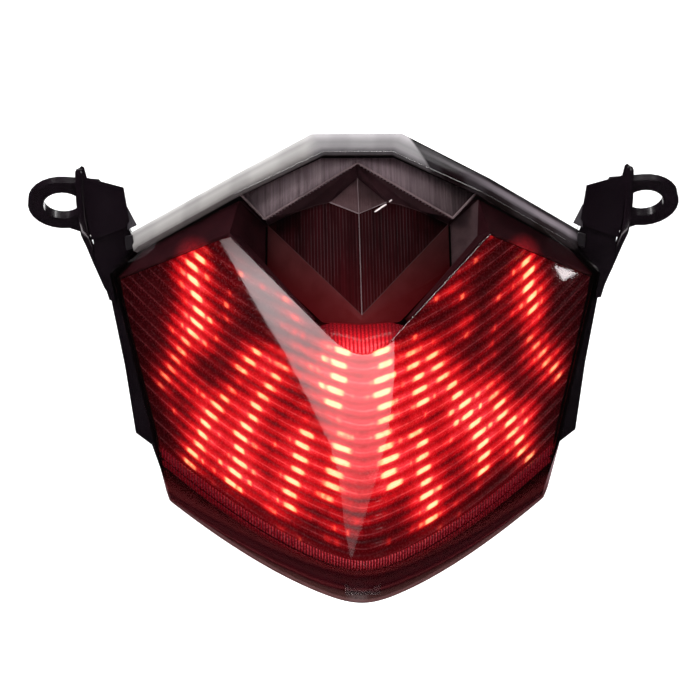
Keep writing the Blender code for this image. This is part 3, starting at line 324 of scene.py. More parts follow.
def lip_material():
    """Smoked lower lip: clear at the bead, browner and duller downwards, with moulded lines."""
    mat = new_material("smoked_lens_lip")
    down = mat.attribute("down")
    wobbly = mat.add(down, mat.swing(mat.noise(scale=90, rough=0.6), 0.10))
    fine = mat.noise(scale=1300, rough=0.6)
    clear = mat.node("BsdfTransparent", mat.ramp(mat.multiply(down, 0.5), LIP_TINT))
    dull = mat.ramp(mat.multiply(wobbly, 0.5), LIP_DULL)
    speck = mat.remap(fine, over=(0.45, 0.7), to=(0.0, 0.10))
    dull = mat.node("BsdfDiffuse", mat.mix(speck, dull, (0.05, 0.008, 0.010)))
    dullness = mat.remap(down, over=(0.35, 1.10), to=(0.03, 0.66))
    body = mat.node("MixShader", dullness, clear, dull)
    rough = mat.remap(fine, over=(0.4, 0.7), to=(0.04, 0.08))
    return mat.surface(mat.polished(body, rough=rough, colour=(0.8, 0.8, 0.8)))


# painted light and shade of the flange against its "out" attribute: 0 beside the lens, 1 at its rim
FLANGE_LEFT = [
    (0.0, (0.10, 0.09, 0.09)), (0.22, (0.34, 0.32, 0.31)), (0.50, (0.46, 0.44, 0.43)),
    (0.70, (0.40, 0.38, 0.375)), (0.86, (0.62, 0.60, 0.59)), (0.95, (0.74, 0.72, 0.72)),
    (1.0, (0.36, 0.34, 0.34)),
]
FLANGE_TOP = [
    (0.0, (0.08, 0.075, 0.08)), (0.22, (0.30, 0.28, 0.29)), (0.45, (0.24, 0.23, 0.235)),
    (0.62, (0.34, 0.32, 0.33)), (0.80, (0.50, 0.47, 0.49)), (0.93, (0.56, 0.53, 0.55)),
    (1.0, (0.25, 0.23, 0.24)),
]
# right end: the painted highlight line is wide far out and narrow nearer the middle
FLANGE_WIDE = [
    (0.0, (0.010, 0.006, 0.006)), (0.24, (0.014, 0.009, 0.010)), (0.34, (0.10, 0.085, 0.095)),
    (0.44, (0.20, 0.17, 0.19)), (0.60, (0.19, 0.16, 0.18)), (0.68, (0.11, 0.09, 0.10)),
    (0.76, (0.02, 0.015, 0.018)), (1.0, (0.010, 0.008, 0.010)),
]
FLANGE_NARROW = [
    (0.0, (0.008, 0.004, 0.005)), (0.46, (0.010, 0.005, 0.006)), (0.55, (0.10, 0.085, 0.095)),
    (0.64, (0.10, 0.085, 0.095)), (0.72, (0.02, 0.015, 0.018)), (1.0, (0.010, 0.008, 0.009)),
]
# painted brightness along the right end: (share of its length, gain)
FLANGE_FADE = (
    (0.0, 0.5), (0.10, 0.35), (0.27, 0.9), (0.47, 0.85), (0.70, 1.2), (0.88, 1.3), (0.93, 0.4),
    (1.0, 0.15),
)
FLANGE_COVER = [(0.0, (0.98, 0.98, 0.98)), (0.7, (0.94, 0.94, 0.94)), (1.0, (0.88, 0.88, 0.88))]


def flange_material():
    """Clear edge strip with painted light and shade across its width, painted differently at the
    left, top and right.
    """
    mat = new_material("clear_flange")
    out = mat.attribute("out")
    fine = mat.noise(scale=300, rough=0.6)
    across = mat.position()[0]
    is_right = mat.remap(mat.scale_add(out, scale=0.006, offset=across), over=(0.0208, 0.0222))
    streak = mat.bands(scale=22.0, distortion=3.0, detail=2.0)
    wobbly = mat.add(out, mat.swing(fine, 0.09))
    left, top, wide, narrow = (
        mat.ramp(wobbly, stops) for stops in (FLANGE_LEFT, FLANGE_TOP, FLANGE_WIDE, FLANGE_NARROW)
    )
    right = mat.mix(mat.remap(across, over=(0.027, 0.042)), narrow, wide)
    along = mat.remap(across, over=(0.012, 0.072), linear=True)
    fade = mat.ramp(along, [(position, (gain, gain, gain)) for position, gain in FLANGE_FADE])
    right = mat.mix(1.0, right, fade, blend="MULTIPLY")
    shade = mat.mix(mat.remap(across, over=(-0.0175, -0.0105)), left, top)
    shade = mat.mix(is_right, shade, right)
    streaked = mat.remap(streak, over=(0.3, 0.9), to=(0.0, 0.18))
    shade = mat.mix(streaked, shade, (0.10, 0.09, 0.10))
    paint = mat.node("BsdfDiffuse", mat.mix(0.72, shade, (0, 0, 0)))
    # the painted shade also glows, so the strip keeps this look under any lamp
    glow = mat.node("Emission", Color=shade, Strength=0.82)
    cover = mat.mix(is_right, mat.ramp(out, FLANGE_COVER), (0.97, 0.97, 0.97))
    clear = mat.node("BsdfTransparent", (0.90, 0.89, 0.90))
    body = mat.node("MixShader", cover, clear, mat.node("AddShader", paint, glow))
    gloss = mat.node("BsdfGlossy", Roughness=mat.remap(fine, to=(0.10, 0.2)))
    gloss_share = 0.012
    return mat.surface(mat.node("MixShader", gloss_share, body, gloss))


def led_material():
    mat = new_material("led_red")
    fine = mat.noise(scale=900, rough=0.6)
    return mat.surface(mat.principled(
        mat.mottle(fine, (0.45, 0.01, 0.01), (0.8, 0.05, 0.03)),
        mat.remap(fine, to=(0.08, 0.2)),
        Emission__Color=(1.0, 0.12, 0.05), Emission__Strength=1.5,
        Normal=mat.bump(fine, strength=0.1),
    ))


LENS = smoked("smoked_lens_front", (0.80, 0.76, 0.76), rough=0.015)
LENS_SIDE = smoked(
    "smoked_lens_side", (0.42, 0.32, 0.34), rough=0.05, haze=0.25,
    haze_colour=(0.030, 0.010, 0.014),
)
MOULDED = {
    "black_plastic": dict(
        colour=(0.0085, 0.0045, 0.0075), rough=0.20, vary=0.2, coat=0.5, dusty=0.015, bump=0.08
    ),
    "rubber_black": dict(colour=(0.02, 0.02, 0.02), rough=0.75, grain=1500, bump=0.3, dusty=0.10),
    "circuit_board": dict(colour=(0.22, 0.012, 0.015), rough=0.35, grain=2500, coat=0.4),
    "grey_plastic": dict(colour=(0.30, 0.30, 0.32), rough=0.45),
    "carrier_plastic": dict(colour=(0.55, 0.53, 0.52), rough=0.45),
    "zinc_steel": dict(colour=(0.60, 0.60, 0.57), rough=0.32, vary=0.12, metallic=1.0, grain=1800),
    "brass_contact": dict(
        colour=(0.72, 0.52, 0.22), rough=0.28, vary=0.15, metallic=1.0, grain=1800
    ),
    "wire_black": dict(colour=(0.02, 0.02, 0.02), rough=0.5),
    "wire_red": dict(colour=(0.45, 0.02, 0.02), rough=0.5),
    "wire_yellow": dict(colour=(0.65, 0.45, 0.05), rough=0.5),
    "connector_black": dict(colour=(0.03, 0.03, 0.033), rough=0.5, grain=1500),
}
MATERIALS = {name: moulded(name, **look) for name, look in MOULDED.items()}
LIP = lip_material()
FLANGE = flange_material()
MATERIALS["clear_plastic"] = smoked("clear_plastic", (0.92, 0.92, 0.93), haze=0.04)
MATERIALS["led_red"] = led_material()


# ------------------------------------------------------------------ mesh helpers
def place_object(name, mesh, materials):
    for material in materials:
        mesh.materials.append(material)
    obj = bpy.data.objects.new(name, mesh)
    bpy.context.scene.collection.objects.link(obj)
    return obj


def mount(obj, slot, replaces=None):
    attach(obj, BODY)
    if replaces:
        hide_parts(replaces)


def smooth_below(mesh, angle):
    mesh.shade_smooth()
    mesh.set_sharp_from_angle(angle=math.radians(angle))


def make(name, verts, faces, materials, smooth=None, face_slots=None):
    mesh = bpy.data.meshes.new(name)
    mesh.from_pydata([tuple(vert) for vert in verts], [], faces)
    obj = place_object(name, mesh, materials)
    if face_slots is not None:
        mesh.polygons.foreach_set("material_index", np.array(face_slots, np.int32))
    bm = bmesh.new()
    bm.from_mesh(mesh)
    bmesh.ops.recalc_face_normals(bm, faces=bm.faces)
    bm.to_mesh(mesh)
    bm.free()
    mesh.update()
    if smooth is not None:
        smooth_below(mesh, smooth)
    return obj


def set_attribute(obj, name, values):
    attribute = obj.data.attributes.new(name, "FLOAT", "POINT")
    attribute.data.foreach_set("value", np.array(values, np.float32))


def face_forward(obj):
    """Turns a sheet so that its first face looks forward (-Y)."""
    if obj.data.polygons[0].normal.y > 0:
        obj.data.flip_normals()


def add_bevel(obj, width, segments, angle):
    bevel = obj.modifiers.new("edge", "BEVEL")
    bevel.width = width / 1000
    bevel.segments = segments
    bevel.limit_method = "ANGLE"
    bevel.angle_limit = math.radians(angle)
    bevel.use_clamp_overlap = True
    bevel.miter_outer = "MITER_ARC"


def add_wall(obj, thickness, even=False):
    wall = obj.modifiers.new("wall", "SOLIDIFY")
    wall.thickness = thickness / 1000
    wall.offset = -1
    wall.use_even_offset = even


def add_weighted(obj):
    normals = obj.modifiers.new("normals", "WEIGHTED_NORMAL")
    normals.mode = "FACE_AREA"
    normals.weight = 80
    normals.keep_sharp = True


# ------------------------------------------------------------------ outer lens
class Net:
    """Faces over points that are made once and found again by their key."""

    def __init__(self):
        self.points, self.index, self.faces, self.slots = [], {}, [], []

    def point(self, key, x, z, forward):
        if key not in self.index:
            self.index[key] = len(self.points)
            self.points.append(at(x, z, forward))
        return self.index[key]

    def face(self, corners, slot):
        self.faces.append(corners)
        self.slots.append(slot)


FRONT_SLOT, SIDE_SLOT, LIP_SLOT = 0, 1, 2


def lens_half(net, side):
    """One half of the lens; points on the middle line are shared by both halves."""

    def point(name, x, z, forward, number=0):
        return net.point((name, number, side if x else 0), side * x, z, forward)

    ridge_share = RIDGE / SIDE_LOW[0]
    shares = [1 - (1 - ridge_share) * k / SIDE_STEPS for k in range(SIDE_STEPS + 1)]
    shares += [ridge_share * (1 - k / RIDGE_STEPS) for k in range(1, RIDGE_STEPS)]
    crease_top = (CREASE_TOP, crease_z(CREASE_TOP))
    shoulder = point("shoulder", *SHOULDER, centre_facet(SHOULDER[1]))
    flat = point("flat", *TOP_FLAT, centre_facet(TOP_FLAT[1]))
    crease = point("crease", *crease_top, main_face(*crease_top))
    end = point("end", *TOP_END, border_facet(*TOP_END))
    side_top = point("side_top", *SIDE_TOP, main_face(*SIDE_TOP))
    vee = []
    for k in range(RIDGE_STEPS + 1):
        x = RIDGE * k / RIDGE_STEPS
        vee.append(point("vee", x, vee_z(x), centre_facet(vee_z(x)), k))
    tip_forward = lens_face(0, BEAD_Z)
    tip = point("tip", 0, BEAD_Z, tip_forward)
    sides = [
        point("side", side_x(z), z, main_face(side_x(z), z), k)
        for k, z in enumerate(SIDE_HEIGHTS)
    ]
    beads, mids, lows = [], [], []
    for k, share in enumerate(shares):
        x, z = lower_edge(BEAD, share)
        forward = lens_face(x, z)
        low_forward = forward - 2 * LIP_STEP - LIP_STEP * (1 - lip_turn(share))
        beads.append(point("bead", x, z, forward, k))
        mids.append(point("mid", *lower_edge(LIP_MID, share), forward - LIP_STEP, k))
        lows.append(point("low", *lower_edge(LIP_LOW, share), low_forward, k))
    mids.append(point("mid", 0, LIP_MID[1], tip_forward - LIP_STEP))
    lows.append(point("low", 0, LIP_LOW[1], tip_forward - 3 * LIP_STEP))
    top = point("top", 0, TOP_FLAT[1], centre_facet(TOP_FLAT[1]))

    net.face([vee[-1], crease, side_top] + sides + beads[: SIDE_STEPS + 1], FRONT_SLOT)
    net.face([shoulder, end, side_top, crease], FRONT_SLOT)
    foot = [tip] + beads[: SIDE_STEPS - 1 : -1]
    for k in range(RIDGE_STEPS):
        net.face([foot[k], vee[k], vee[k + 1], foot[k + 1]], FRONT_SLOT)
    net.face(vee + [crease, shoulder, flat, top], FRONT_SLOT)
    beads.append(tip)
    for k in range(len(shares)):
        net.face([beads[k], beads[k + 1], mids[k + 1], mids[k]], LIP_SLOT)
        net.face([mids[k], mids[k + 1], lows[k + 1], lows[k]], LIP_SLOT)
    # skirt from the outline back to the rim
    edge = [top, flat, shoulder, end, side_top] + sides + [beads[0], mids[0]] + lows
    back = []
    for number in edge:
        x, z = net.points[number].x * 1000, net.points[number].z * 1000
        back.append(net.point(("rear", number), x, z, rim(x) + 0.9))
    for k in range(len(edge) - 1):
        net.face([edge[k], edge[k + 1], back[k + 1], back[k]], SIDE_SLOT)


def build_lens():
    net = Net()
    for side in (1, -1):
        lens_half(net, side)
    lens = make(
        "lens_shell", net.points, net.faces, [LENS, LENS_SIDE, LIP], face_slots=net.slots
    )
    mount(lens, "smoked_lens", "outer_lens")
    face_forward(lens)
    row = {"mid": 1.0, "low": 2.0, "rear": 2.0}
    set_attribute(lens, "down", [row.get(key[0], 0.0) for key in net.index])
    lens.data.shade_smooth()
    add_bevel(lens, width=0.4, segments=3, angle=22)
    add_wall(lens, LENS_WALL, even=True)
    add_weighted(lens)


# right half of the flange, from its end to the middle: (x, z) of its foot, (x, z) of its rim
FLANGE_LINE = (
    (68.4, 29.7, 69.3, 35.0),
    (*TOP_END, 67.0, 36.2),
    (*SHOULDER, 39.6, 50.7),
    (*TOP_FLAT, 13.8, 64.5),
)
# section of the flange: (share from foot to rim, forward shift before scaling)
FLANGE_SECTION = ((0.0, 0.0), (0.25, -1.5), (0.5, -3.4), (0.75, -5.6), (0.9, -7.0), (1.0, -8.0))


def build_flange():
    """The clear strip that stands off the top edge of the lens."""
    stations = [(-x, z, -rim_x, rim_z) for x, z, rim_x, rim_z in FLANGE_LINE]
    stations += reversed(FLANGE_LINE)
    verts = []
    for x, z, rim_x, rim_z in stations:
        forward = border_facet(x, z) if abs(x) > SHOULDER[0] else centre_facet(z)
        foot_x, foot_z = x * 0.99, z - 0.2
        for share, shift in FLANGE_SECTION:
            arch = 0.5 * math.sin(share * math.pi)
            verts.append(at(
                foot_x + (rim_x - foot_x) * share,
                foot_z + (rim_z - foot_z) * share + arch,
                forward - 1.0 + shift * 0.9,
            ))
    row = len(FLANGE_SECTION)
    faces = [
        [i * row + k, i * row + k + 1, (i + 1) * row + k + 1, (i + 1) * row + k]
        for i in range(len(stations) - 1)
        for k in range(row - 1)
    ]
    flange = make("lens_flange", verts, faces, [FLANGE], smooth=35)
    mount(flange, "smoked_lens", "outer_lens")
    set_attribute(flange, "out", [share for share, _ in FLANGE_SECTION] * len(stations))
    add_wall(flange, 1.9)
    add_bevel(flange, width=0.4, segments=3, angle=50)


# ------------------------------------------------------------------ red optic with its ribs
RIB_PITCH, RIB_PHASE = 4.08, 0.232
RIB_RISE, RIB_ROUND, RIB_BEND = 0.28, 2.5, 0.0052  # outer slope, rounding and curvature
OPTIC_BACK = 7.3  # behind the outer face of the lens
OPTIC_RIDGE = 8.0  # half width of its rounded ridge
OPTIC_THICK = 2.6
OPTIC_END = 71.7  # largest x
COLUMN_STEP, ROWS_PER_RIB = 0.72, 9
# outlines of the right half: (x, z)
OPTIC_TOP = (
    (0.0, vee_z(0) - 0.4), (3.2, vee_z(3.2) - 0.4), (6.4, vee_z(6.4) - 0.4),
    (9.5, crease_z(9.5) - 0.35), (38.4, crease_z(38.4) - 0.35), (71.8, 20.9),
)
OPTIC_SIDE = ((71.8, 20.9), *((side_x(z) - 1.5, z) for z in (14.3, -5.6, -30.0)))

# where the light of each LED lands on the ribs: (x, z, strength) along a streak
STREAKS = (
    [(5.9, 2.6, 0.9), (6.0, -8, 1.0), (6.2, -15.3, 0.9), (6.4, -22, 0.45), (6.6, -27.7, 0.8),
     (8.0, -34, 1.0), (9.6, -40, 0.8)],
    [(14.2, 0.8, 0.45), (16.4, -8, 0.7), (18.2, -17.1, 0.75)],
    [(16.0, -22.6, 0.6), (18.2, -30.5, 0.9), (19.4, -39.6, 1.0), (20.8, -46.6, 0.8),
     (21.8, -53.7, 0.55)],
    [(20.5, 0.3, 0.45), (25.3, -9.4, 0.75), (30.7, -16.5, 1.0), (34.9, -23.7, 1.0),
     (37.6, -30.5, 0.95), (37.0, -37.5, 0.75)],
    [(38.0, -10.0, 0.2), (41.6, -17.1, 0.6), (45.9, -23.1, 0.85), (50.0, -30.4, 0.8),
     (53.0, -35.5, 0.5)],
    [(50.1, 29.0, 0.5), (51.6, 19.3, 0.95), (53.0, 12.3, 0.8), (52.0, 8.0, 0.45)],
    [(50.5, 4.5, 0.35), (56.9, -2.8, 0.5), (62.0, -11.0, 0.35)],
    [(-6.3, 2.8, 0.9), (-6.8, -8, 1.0), (-8.6, -17.3, 0.9)],
    [(-6.0, -23.0, 0.4), (-6.4, -29, 0.75), (-7.6, -36.5, 0.85), (-10.4, -43.5, 0.5)],
    [(-15.2, -21.3, 0.75), (-17.3, -28.1, 0.95), (-19.0, -34.7, 0.9), (-20.7, -40.5, 0.8),
     (-21.9, -49.7, 0.6)],
    [(-22.5, -4.0, 0.45), (-26.5, -11, 0.6), (-30.8, -17.3, 0.7), (-34.6, -24.3, 0.95),
     (-36.3, -33, 1.0), (-38.5, -42.0, 0.7)],
    [(-28.5, 2.0, 0.5), (-31.5, -2.0, 0.7), (-35.0, -6.6, 0.6)],
    [(-38.4, -11.5, 0.4), (-43.0, -17.5, 0.6), (-46.2, -23.3, 1.0), (-48.6, -29.2, 0.9),
     (-52.0, -36.5, 0.5)],
    [(-46.5, 29.6, 0.6), (-50.6, 23.5, 1.0), (-48.5, 18.7, 1.0), (-47.4, 13.0, 0.85),
     (-49.5, 6.0, 0.7), (-52.5, 0.0, 0.45), (-57.5, -8.5, 0.35), (-60.5, -12.0, 0.2)],
)
STRAY_SPOTS = 300  # faint painted light specks tried all over the optic


def rib_curve(x):
    return RIB_RISE * (np.sqrt(x * x + RIB_ROUND**2) - RIB_ROUND) + RIB_BEND * x * x


def rib_number(x, z):
    return (rib_curve(np.abs(x)) - z) / RIB_PITCH - RIB_PHASE


def streak_spots():
    """Painted light spots where streaks cross ribs: (x, rib, strength, half length), with stray
    light specks.
    """
    spots = []
    for streak in STREAKS:
        for (x_a, z_a, strength_a), (x_b, z_b, strength_b) in zip(streak, streak[1:]):
            rib_a, rib_b = rib_number(x_a, z_a), rib_number(x_b, z_b)
            for k in range(math.ceil(min(rib_a, rib_b)), math.floor(max(rib_a, rib_b)) + 1):
                share = (k - rib_a) / (rib_b - rib_a) if rib_b != rib_a else 0.5
                x = x_a + (x_b - x_a) * share
                strength = strength_a + (strength_b - strength_a) * share
                strength *= 0.78 + 0.3 * rng.random()
                half = (2.2 if abs(x) < 10 else 1.75) + 0.7 * rng.random()
                x += (rng.random() - 0.5) * 1.2
                spots.append((x, k, strength, half))
                for turn in (1, -1):
                    if rng.random() < 0.30:
                        beside = x + (2.9 + 1.6 * rng.random()) * turn
                        faint = strength * (0.25 + 0.45 * rng.random())
                        spots.append((beside, k, faint, 0.5 + 0.7 * rng.random()))
    for _ in range(STRAY_SPOTS):
        x = (rng.random() * 2 - 1) * 56
        k = int(rng.integers(-8, 20))
        z = float(rib_curve(np.array(abs(x)))) - (k + RIB_PHASE) * RIB_PITCH
        if crease_z(abs(x)) - 1 > z > BEAD_Z + 4:
            strength = 0.10 + 0.22 * rng.random() ** 2
            spots.append((x, k, strength, 0.35 + 0.6 * rng.random()))
    return spots


def optic_low_z(x):
    share = np.clip(np.abs(x) / (SIDE_LOW[0] - 1.4), 0, 1.05)
    return BEAD_Z - 0.9 + (SIDE_LOW[1] - BEAD_Z - 0.4) * rise(share)


def optic_side_x(z):
    return np.interp(z, [z for _, z in OPTIC_SIDE[::-1]], [x for x, _ in OPTIC_SIDE[::-1]])


def optic_forward(x, z):
    """Front of the optic, without ribs."""
    across = np.abs(x)
    rounded = across * across / (2 * OPTIC_RIDGE) + OPTIC_RIDGE / 2
    run = np.where(across >= OPTIC_RIDGE, across, rounded)
    return MAIN_FORWARD - OPTIC_BACK - MAIN_SLOPE * run + MAIN_LEAN * z


def optic_column(x):
    """(x, rib number at the top edge, rib number at the bottom edge)."""
    top = float(np.interp(x, *zip(*OPTIC_TOP)))
    low = float(optic_low_z(x))
    if x > optic_side_x(low):
        # the side edge cuts this column
        heights = np.linspace(-30, 20.9, 400)
        inside = heights[optic_side_x(heights) >= x]
        low = max(low, float(inside.min())) if len(inside) else top - 0.2
    top_rib, low_rib = float(rib_number(x, top)), float(rib_number(x, low))
    return x, top_rib, max(low_rib, top_rib + 0.05)


def optic_grid():
    """Columns of constant x with rows that follow the ribs: x and rib number of each point."""
    xs = np.linspace(0, OPTIC_END, int(OPTIC_END / COLUMN_STEP) + 1)
    columns = [optic_column(x) for x in xs]
    first = math.floor(min(column[1] for column in columns) * ROWS_PER_RIB)
    last = math.ceil(max(column[2] for column in columns) * ROWS_PER_RIB)
    row_step = 1.0 / ROWS_PER_RIB
    points, index, faces = [], {}, []
    for side in (1, -1):
        ids = {}
        for i, (x, top_rib, low_rib) in enumerate(columns):
            for k in range(first, last + 1):
                rib = min(max(k * row_step, top_rib), low_rib)
                key = (round(side * x, 3), round(rib, 5))
                if key not in index:
                    index[key] = len(points)
                    points.append((side * x, rib))
                ids[i, k] = index[key]
        for i in range(len(columns) - 1):
            for k in range(first, last):
                quad = [ids[i, k], ids[i + 1, k], ids[i + 1, k + 1], ids[i, k + 1]]
                corners = list(dict.fromkeys(quad))
                if len(corners) >= 3:
                    faces.append(corners[::side])
    points = np.array(points)
    return points[:, 0], points[:, 1], faces


def bell(distance, width, power=2):
    return np.exp(-((distance / width) ** power))


def optic_light(x, rib, z):
    """Light on every point of the front: sharp spots, soft glow round them, and ambient."""
    nearest = np.round(rib)
    across = np.abs(x)
    slope = RIB_RISE * across / np.sqrt(x * x + RIB_ROUND**2) + 2 * RIB_BEND * across
    cosine = 1 / np.sqrt(1 + slope**2)
    spot, glow = np.zeros(len(x)), np.zeros(len(x))
    for spot_x, spot_rib, strength, half in streak_spots():
        along = (x - spot_x) / np.maximum(cosine, 0.3)
        near = np.abs(along) < 14
        run = along[near]
        aside = (rib[near] - spot_rib) * RIB_PITCH * cosine[near]
        halo = 0.80 * bell(run, 4.3) * bell(aside, 2.7) + 0.07 * bell(run, 8.0) * bell(aside, 5.0)
        glow[near] += strength * halo
        hit = nearest[near] == spot_rib
        lit = np.where(near)[0][hit]
        core = bell(run[hit], half, power=4) + 0.16 * bell(run[hit], half * 2.0)
        spot[lit] = np.maximum(spot[lit], strength * core)
    # wide pool of light in the middle, darker far out, with a brighter band on the ridge
    pool = bell(x, 32) * np.clip((z + 58) / 24, 0.2, 1) * np.clip((4 - z) / 20, 0.15, 1)
    band = bell(x, 8.5, power=4) * np.clip((z + 56) / 34, 0, 1) * np.clip((4 - z) / 4 + 0.6, 0, 1)
    ambient = 0.05 + 0.47 * pool - 0.025 * np.clip((across - 52) / 8, 0, 1) + 0.82 * band
    return {"spot": spot, "glow": np.clip(glow, 0, 3), "ambient": ambient}


# colours of the painted LED light on the optic against its brightness
OPTIC_RED = [
    (0.0, (0.006, 0.0006, 0.0012)), (0.06, (0.030, 0.0003, 0.0010)), (0.18, (0.14, 0.0010, 0.0030)),
    (0.36, (0.46, 0.0035, 0.007)), (0.60, (0.66, 0.007, 0.012)), (1.0, (0.86, 0.030, 0.045)),
]
OPTIC_HOT = [
    (0.0, (0.0, 0.0, 0.0)), (0.17, (0.34, 0.010, 0.008)), (0.36, (0.95, 0.24, 0.10)),
    (0.56, (1.0, 0.72, 0.28)), (0.9, (1.0, 0.94, 0.46)),
]
OPTIC_LINE = [
    (0.0, (0.055, 0.016, 0.018)), (0.15, (0.11, 0.022, 0.025)), (0.4, (0.28, 0.05, 0.05)),
    (1.0, (0.5, 0.14, 0.12)),
]


def optic_material():
    mat = new_material("red_optic")
    # the optic's emission is painted LED light: spots, glow round them and crest highlights, not
    # light cast by the LED pieces
    rib, spot, glow, ambient, edge = (
        mat.attribute(name) for name in ("rib", "spot", "glow", "ambient", "edge")
    )
    coords = mat.coords()
    wobble = mat.noise(scale=260, rough=0.6, vector=coords)
    fine = mat.noise(scale=1500, detail=2, rough=0.6, vector=coords)
    grain = mat.noise(scale=3200, detail=2, rough=0.7, vector=coords)
    # distance from the nearest crest, in ribs
    wobbly_rib = mat.add(rib, mat.swing(wobble, 0.05))
    crest = mat.math("SUBTRACT", mat.math("FRACT", mat.add(wobbly_rib, 0.5)), 0.5)
    # painted highlight: a thin pale line on each crest
    line = mat.multiply(
        mat.remap(mat.magnitude(crest), over=(0.085, 0.02)),
        mat.remap(wobble, over=(0.35, 0.62), to=(0.35, 1.0)),
    )
    # spots are larger in the middle and at the top
    place = mat.position(coords)
    strong = mat.math(
        "MAXIMUM",
        mat.remap(mat.magnitude(place[0]), over=(0.017, 0.008)),
        mat.remap(place[2], over=(0.008, 0.018), to=(0.0, 0.8)),
    )
    band = mat.remap(mat.magnitude(mat.add(crest, -0.02)), over=(
        mat.scale_add(strong, scale=0.04, offset=0.27),
        mat.scale_add(strong, scale=0.025, offset=0.10),
    ))
    blotch = mat.noise(scale=520, detail=2, vector=coords)
    blotch = mat.remap(blotch, over=(0.3, 0.6), to=(0.72, 1.12))
    core = mat.multiply(mat.multiply(spot, band), blotch)
    patch = mat.noise(scale=420, detail=4, rough=0.7, vector=coords)
    patch = mat.remap(patch, over=(0.34, 0.66), to=(0.80, 1.22))
    speck = mat.multiply(mat.remap(grain, to=(0.85, 1.12)), patch)
    # painted light, dimmer towards the lower edge as painted shade
    lit = mat.multiply(
        mat.add(glow, ambient), mat.remap(edge, over=(1.0, 13.0), to=(0.55, 1.0))
    )
    # painted shade: the valleys between crests are darker
    valley = mat.remap(mat.magnitude(crest), over=(0.5, 0.15), to=(0.55, 1.15))
    base = mat.multiply(lit, mat.multiply(speck, valley))
    red = mat.ramp(mat.multiply(base, 0.6), OPTIC_RED)
    heat = mat.multiply(core, mat.scale_add(strong, scale=0.13, offset=0.94))
    hot = mat.ramp(heat, OPTIC_HOT)
    lines = mat.mix(line, (0, 0, 0), mat.ramp(mat.multiply(base, 0.5), OPTIC_LINE))
    total = mat.mix(1.0, mat.mix(1.0, red, hot, blend="ADD"), lines, blend="ADD")
    # painted shade: dark red near the lower edge
    near_edge = mat.remap(edge, over=(4.5, 0.4), to=(0.0, 0.65))
    return mat.surface(mat.principled(
        mat.mottle(fine, (0.05, 0.002, 0.004), (0.11, 0.003, 0.006)),
        mat.remap(fine, to=(0.18, 0.32)),
        Emission__Color=mat.mix(near_edge, total, (0.09, 0.002, 0.004)), Emission__Strength=1.7,
        Normal=mat.bump(fine, strength=0.15),
    ))


def build_optic():
    """Ribbed front, smooth rear face and walls between them."""
    x, rib, front = optic_grid()
    count = len(x)
    z = rib_curve(np.abs(x)) - (rib + RIB_PHASE) * RIB_PITCH
    above_edge = z - optic_low_z(x)
    from_crest = rib - np.round(rib)
    relief = bell(from_crest, 0.13) * 0.55 + 0.30 * np.cos(2 * np.pi * from_crest)
    base = optic_forward(x, z)
    forward = base + relief * np.clip(above_edge / 1.5, 0, 1) * 0.9
    verts = np.concatenate([
        np.stack([x, -forward, z], 1) / 1000,
        np.stack([x, -(base - OPTIC_THICK), z], 1) / 1000,
    ])
    # a directed edge without its opposite lies on the outline
    edges = dict.fromkeys(
        (a, b) for corners in front for a, b in zip(corners, corners[1:] + corners[:1])
    )
    walls = [[b, a, count + a, count + b] for a, b in edges if (b, a) not in edges]
    rear = [[count + v for v in reversed(corners)] for corners in front]
    mesh = bpy.data.meshes.new("red_optic_ribbed")
    mesh.from_pydata(verts.tolist(), [], front + rear + walls)
    materials = [
        optic_material(), moulded("red_optic_rear", colour=(0.30, 0.008, 0.012), rough=0.3)
    ]
    optic = place_object("red_optic_ribbed", mesh, materials)
    slots = [0] * len(front) + [1] * (len(rear) + len(walls))
    mesh.polygons.foreach_set("material_index", np.array(slots, np.int32))
    attributes = {"rib": rib, **optic_light(x, rib, z), "edge": above_edge}
    for name, values in attributes.items():
        set_attribute(optic, name, np.concatenate([values, np.zeros(count)]))
    mesh.update()
    smooth_below(mesh, 50)
    face_forward(optic)
    mount(optic, "red_lens", "red_optic_lens")


# ------------------------------------------------------------------ fluted panels
FLUTE_PITCH, CHIN_PITCH, TOOTH_PITCH = 0.95, 1.15, 0.85


def fluted(name, panels, pitch, amplitude, thickness, materials, slot, replaces, plain=()):
    """Planar panels (outline, material slot) waved in fine vertical flutes; plain ones stay flat."""
    bm = bmesh.new()
    for outline, material_slot in panels:
        face = bm.faces.new([bm.verts.new(at(*corner)) for corner in outline])
        face.material_index = material_slot
        face.smooth = True
    bmesh.ops.remove_doubles(bm, verts=bm.verts, dist=1e-6)
    marks = bm.faces.layers.int.new("panel")
    bm.faces.ensure_lookup_table()
    for i, face in enumerate(bm.faces):
        face[marks] = i
    left = min(vert.co.x for vert in bm.verts)
    right = max(vert.co.x for vert in bm.verts)
    step = pitch / 4000  # a quarter of the pitch, in metres
    for k in range(math.ceil(left / step), math.floor(right / step) + 1):
        faces = [face for face in bm.faces if face[marks] not in plain]
        edges = {edge for face in faces for edge in face.edges}
        verts = {vert for face in faces for vert in face.verts}
        bmesh.ops.bisect_plane(
            bm, geom=list(verts) + list(edges) + faces, dist=1e-7,
            plane_co=(k * step, 0, 0), plane_no=(1, 0, 0),
        )
    for vert in bm.verts:
        if not any(face[marks] in plain for face in vert.link_faces):
            wave = abs(math.cos(math.pi * vert.co.x * 1000 / pitch))
            vert.co.y -= amplitude / 1000 * wave
    bmesh.ops.recalc_face_normals(bm, faces=bm.faces)
    mesh = bpy.data.meshes.new(name)
    bm.to_mesh(mesh)
    bm.free()
    obj = place_object(name, mesh, materials)
    face_forward(obj)
    smooth_below(mesh, 24)
    mount(obj, slot, replaces)
    add_wall(obj, thickness)


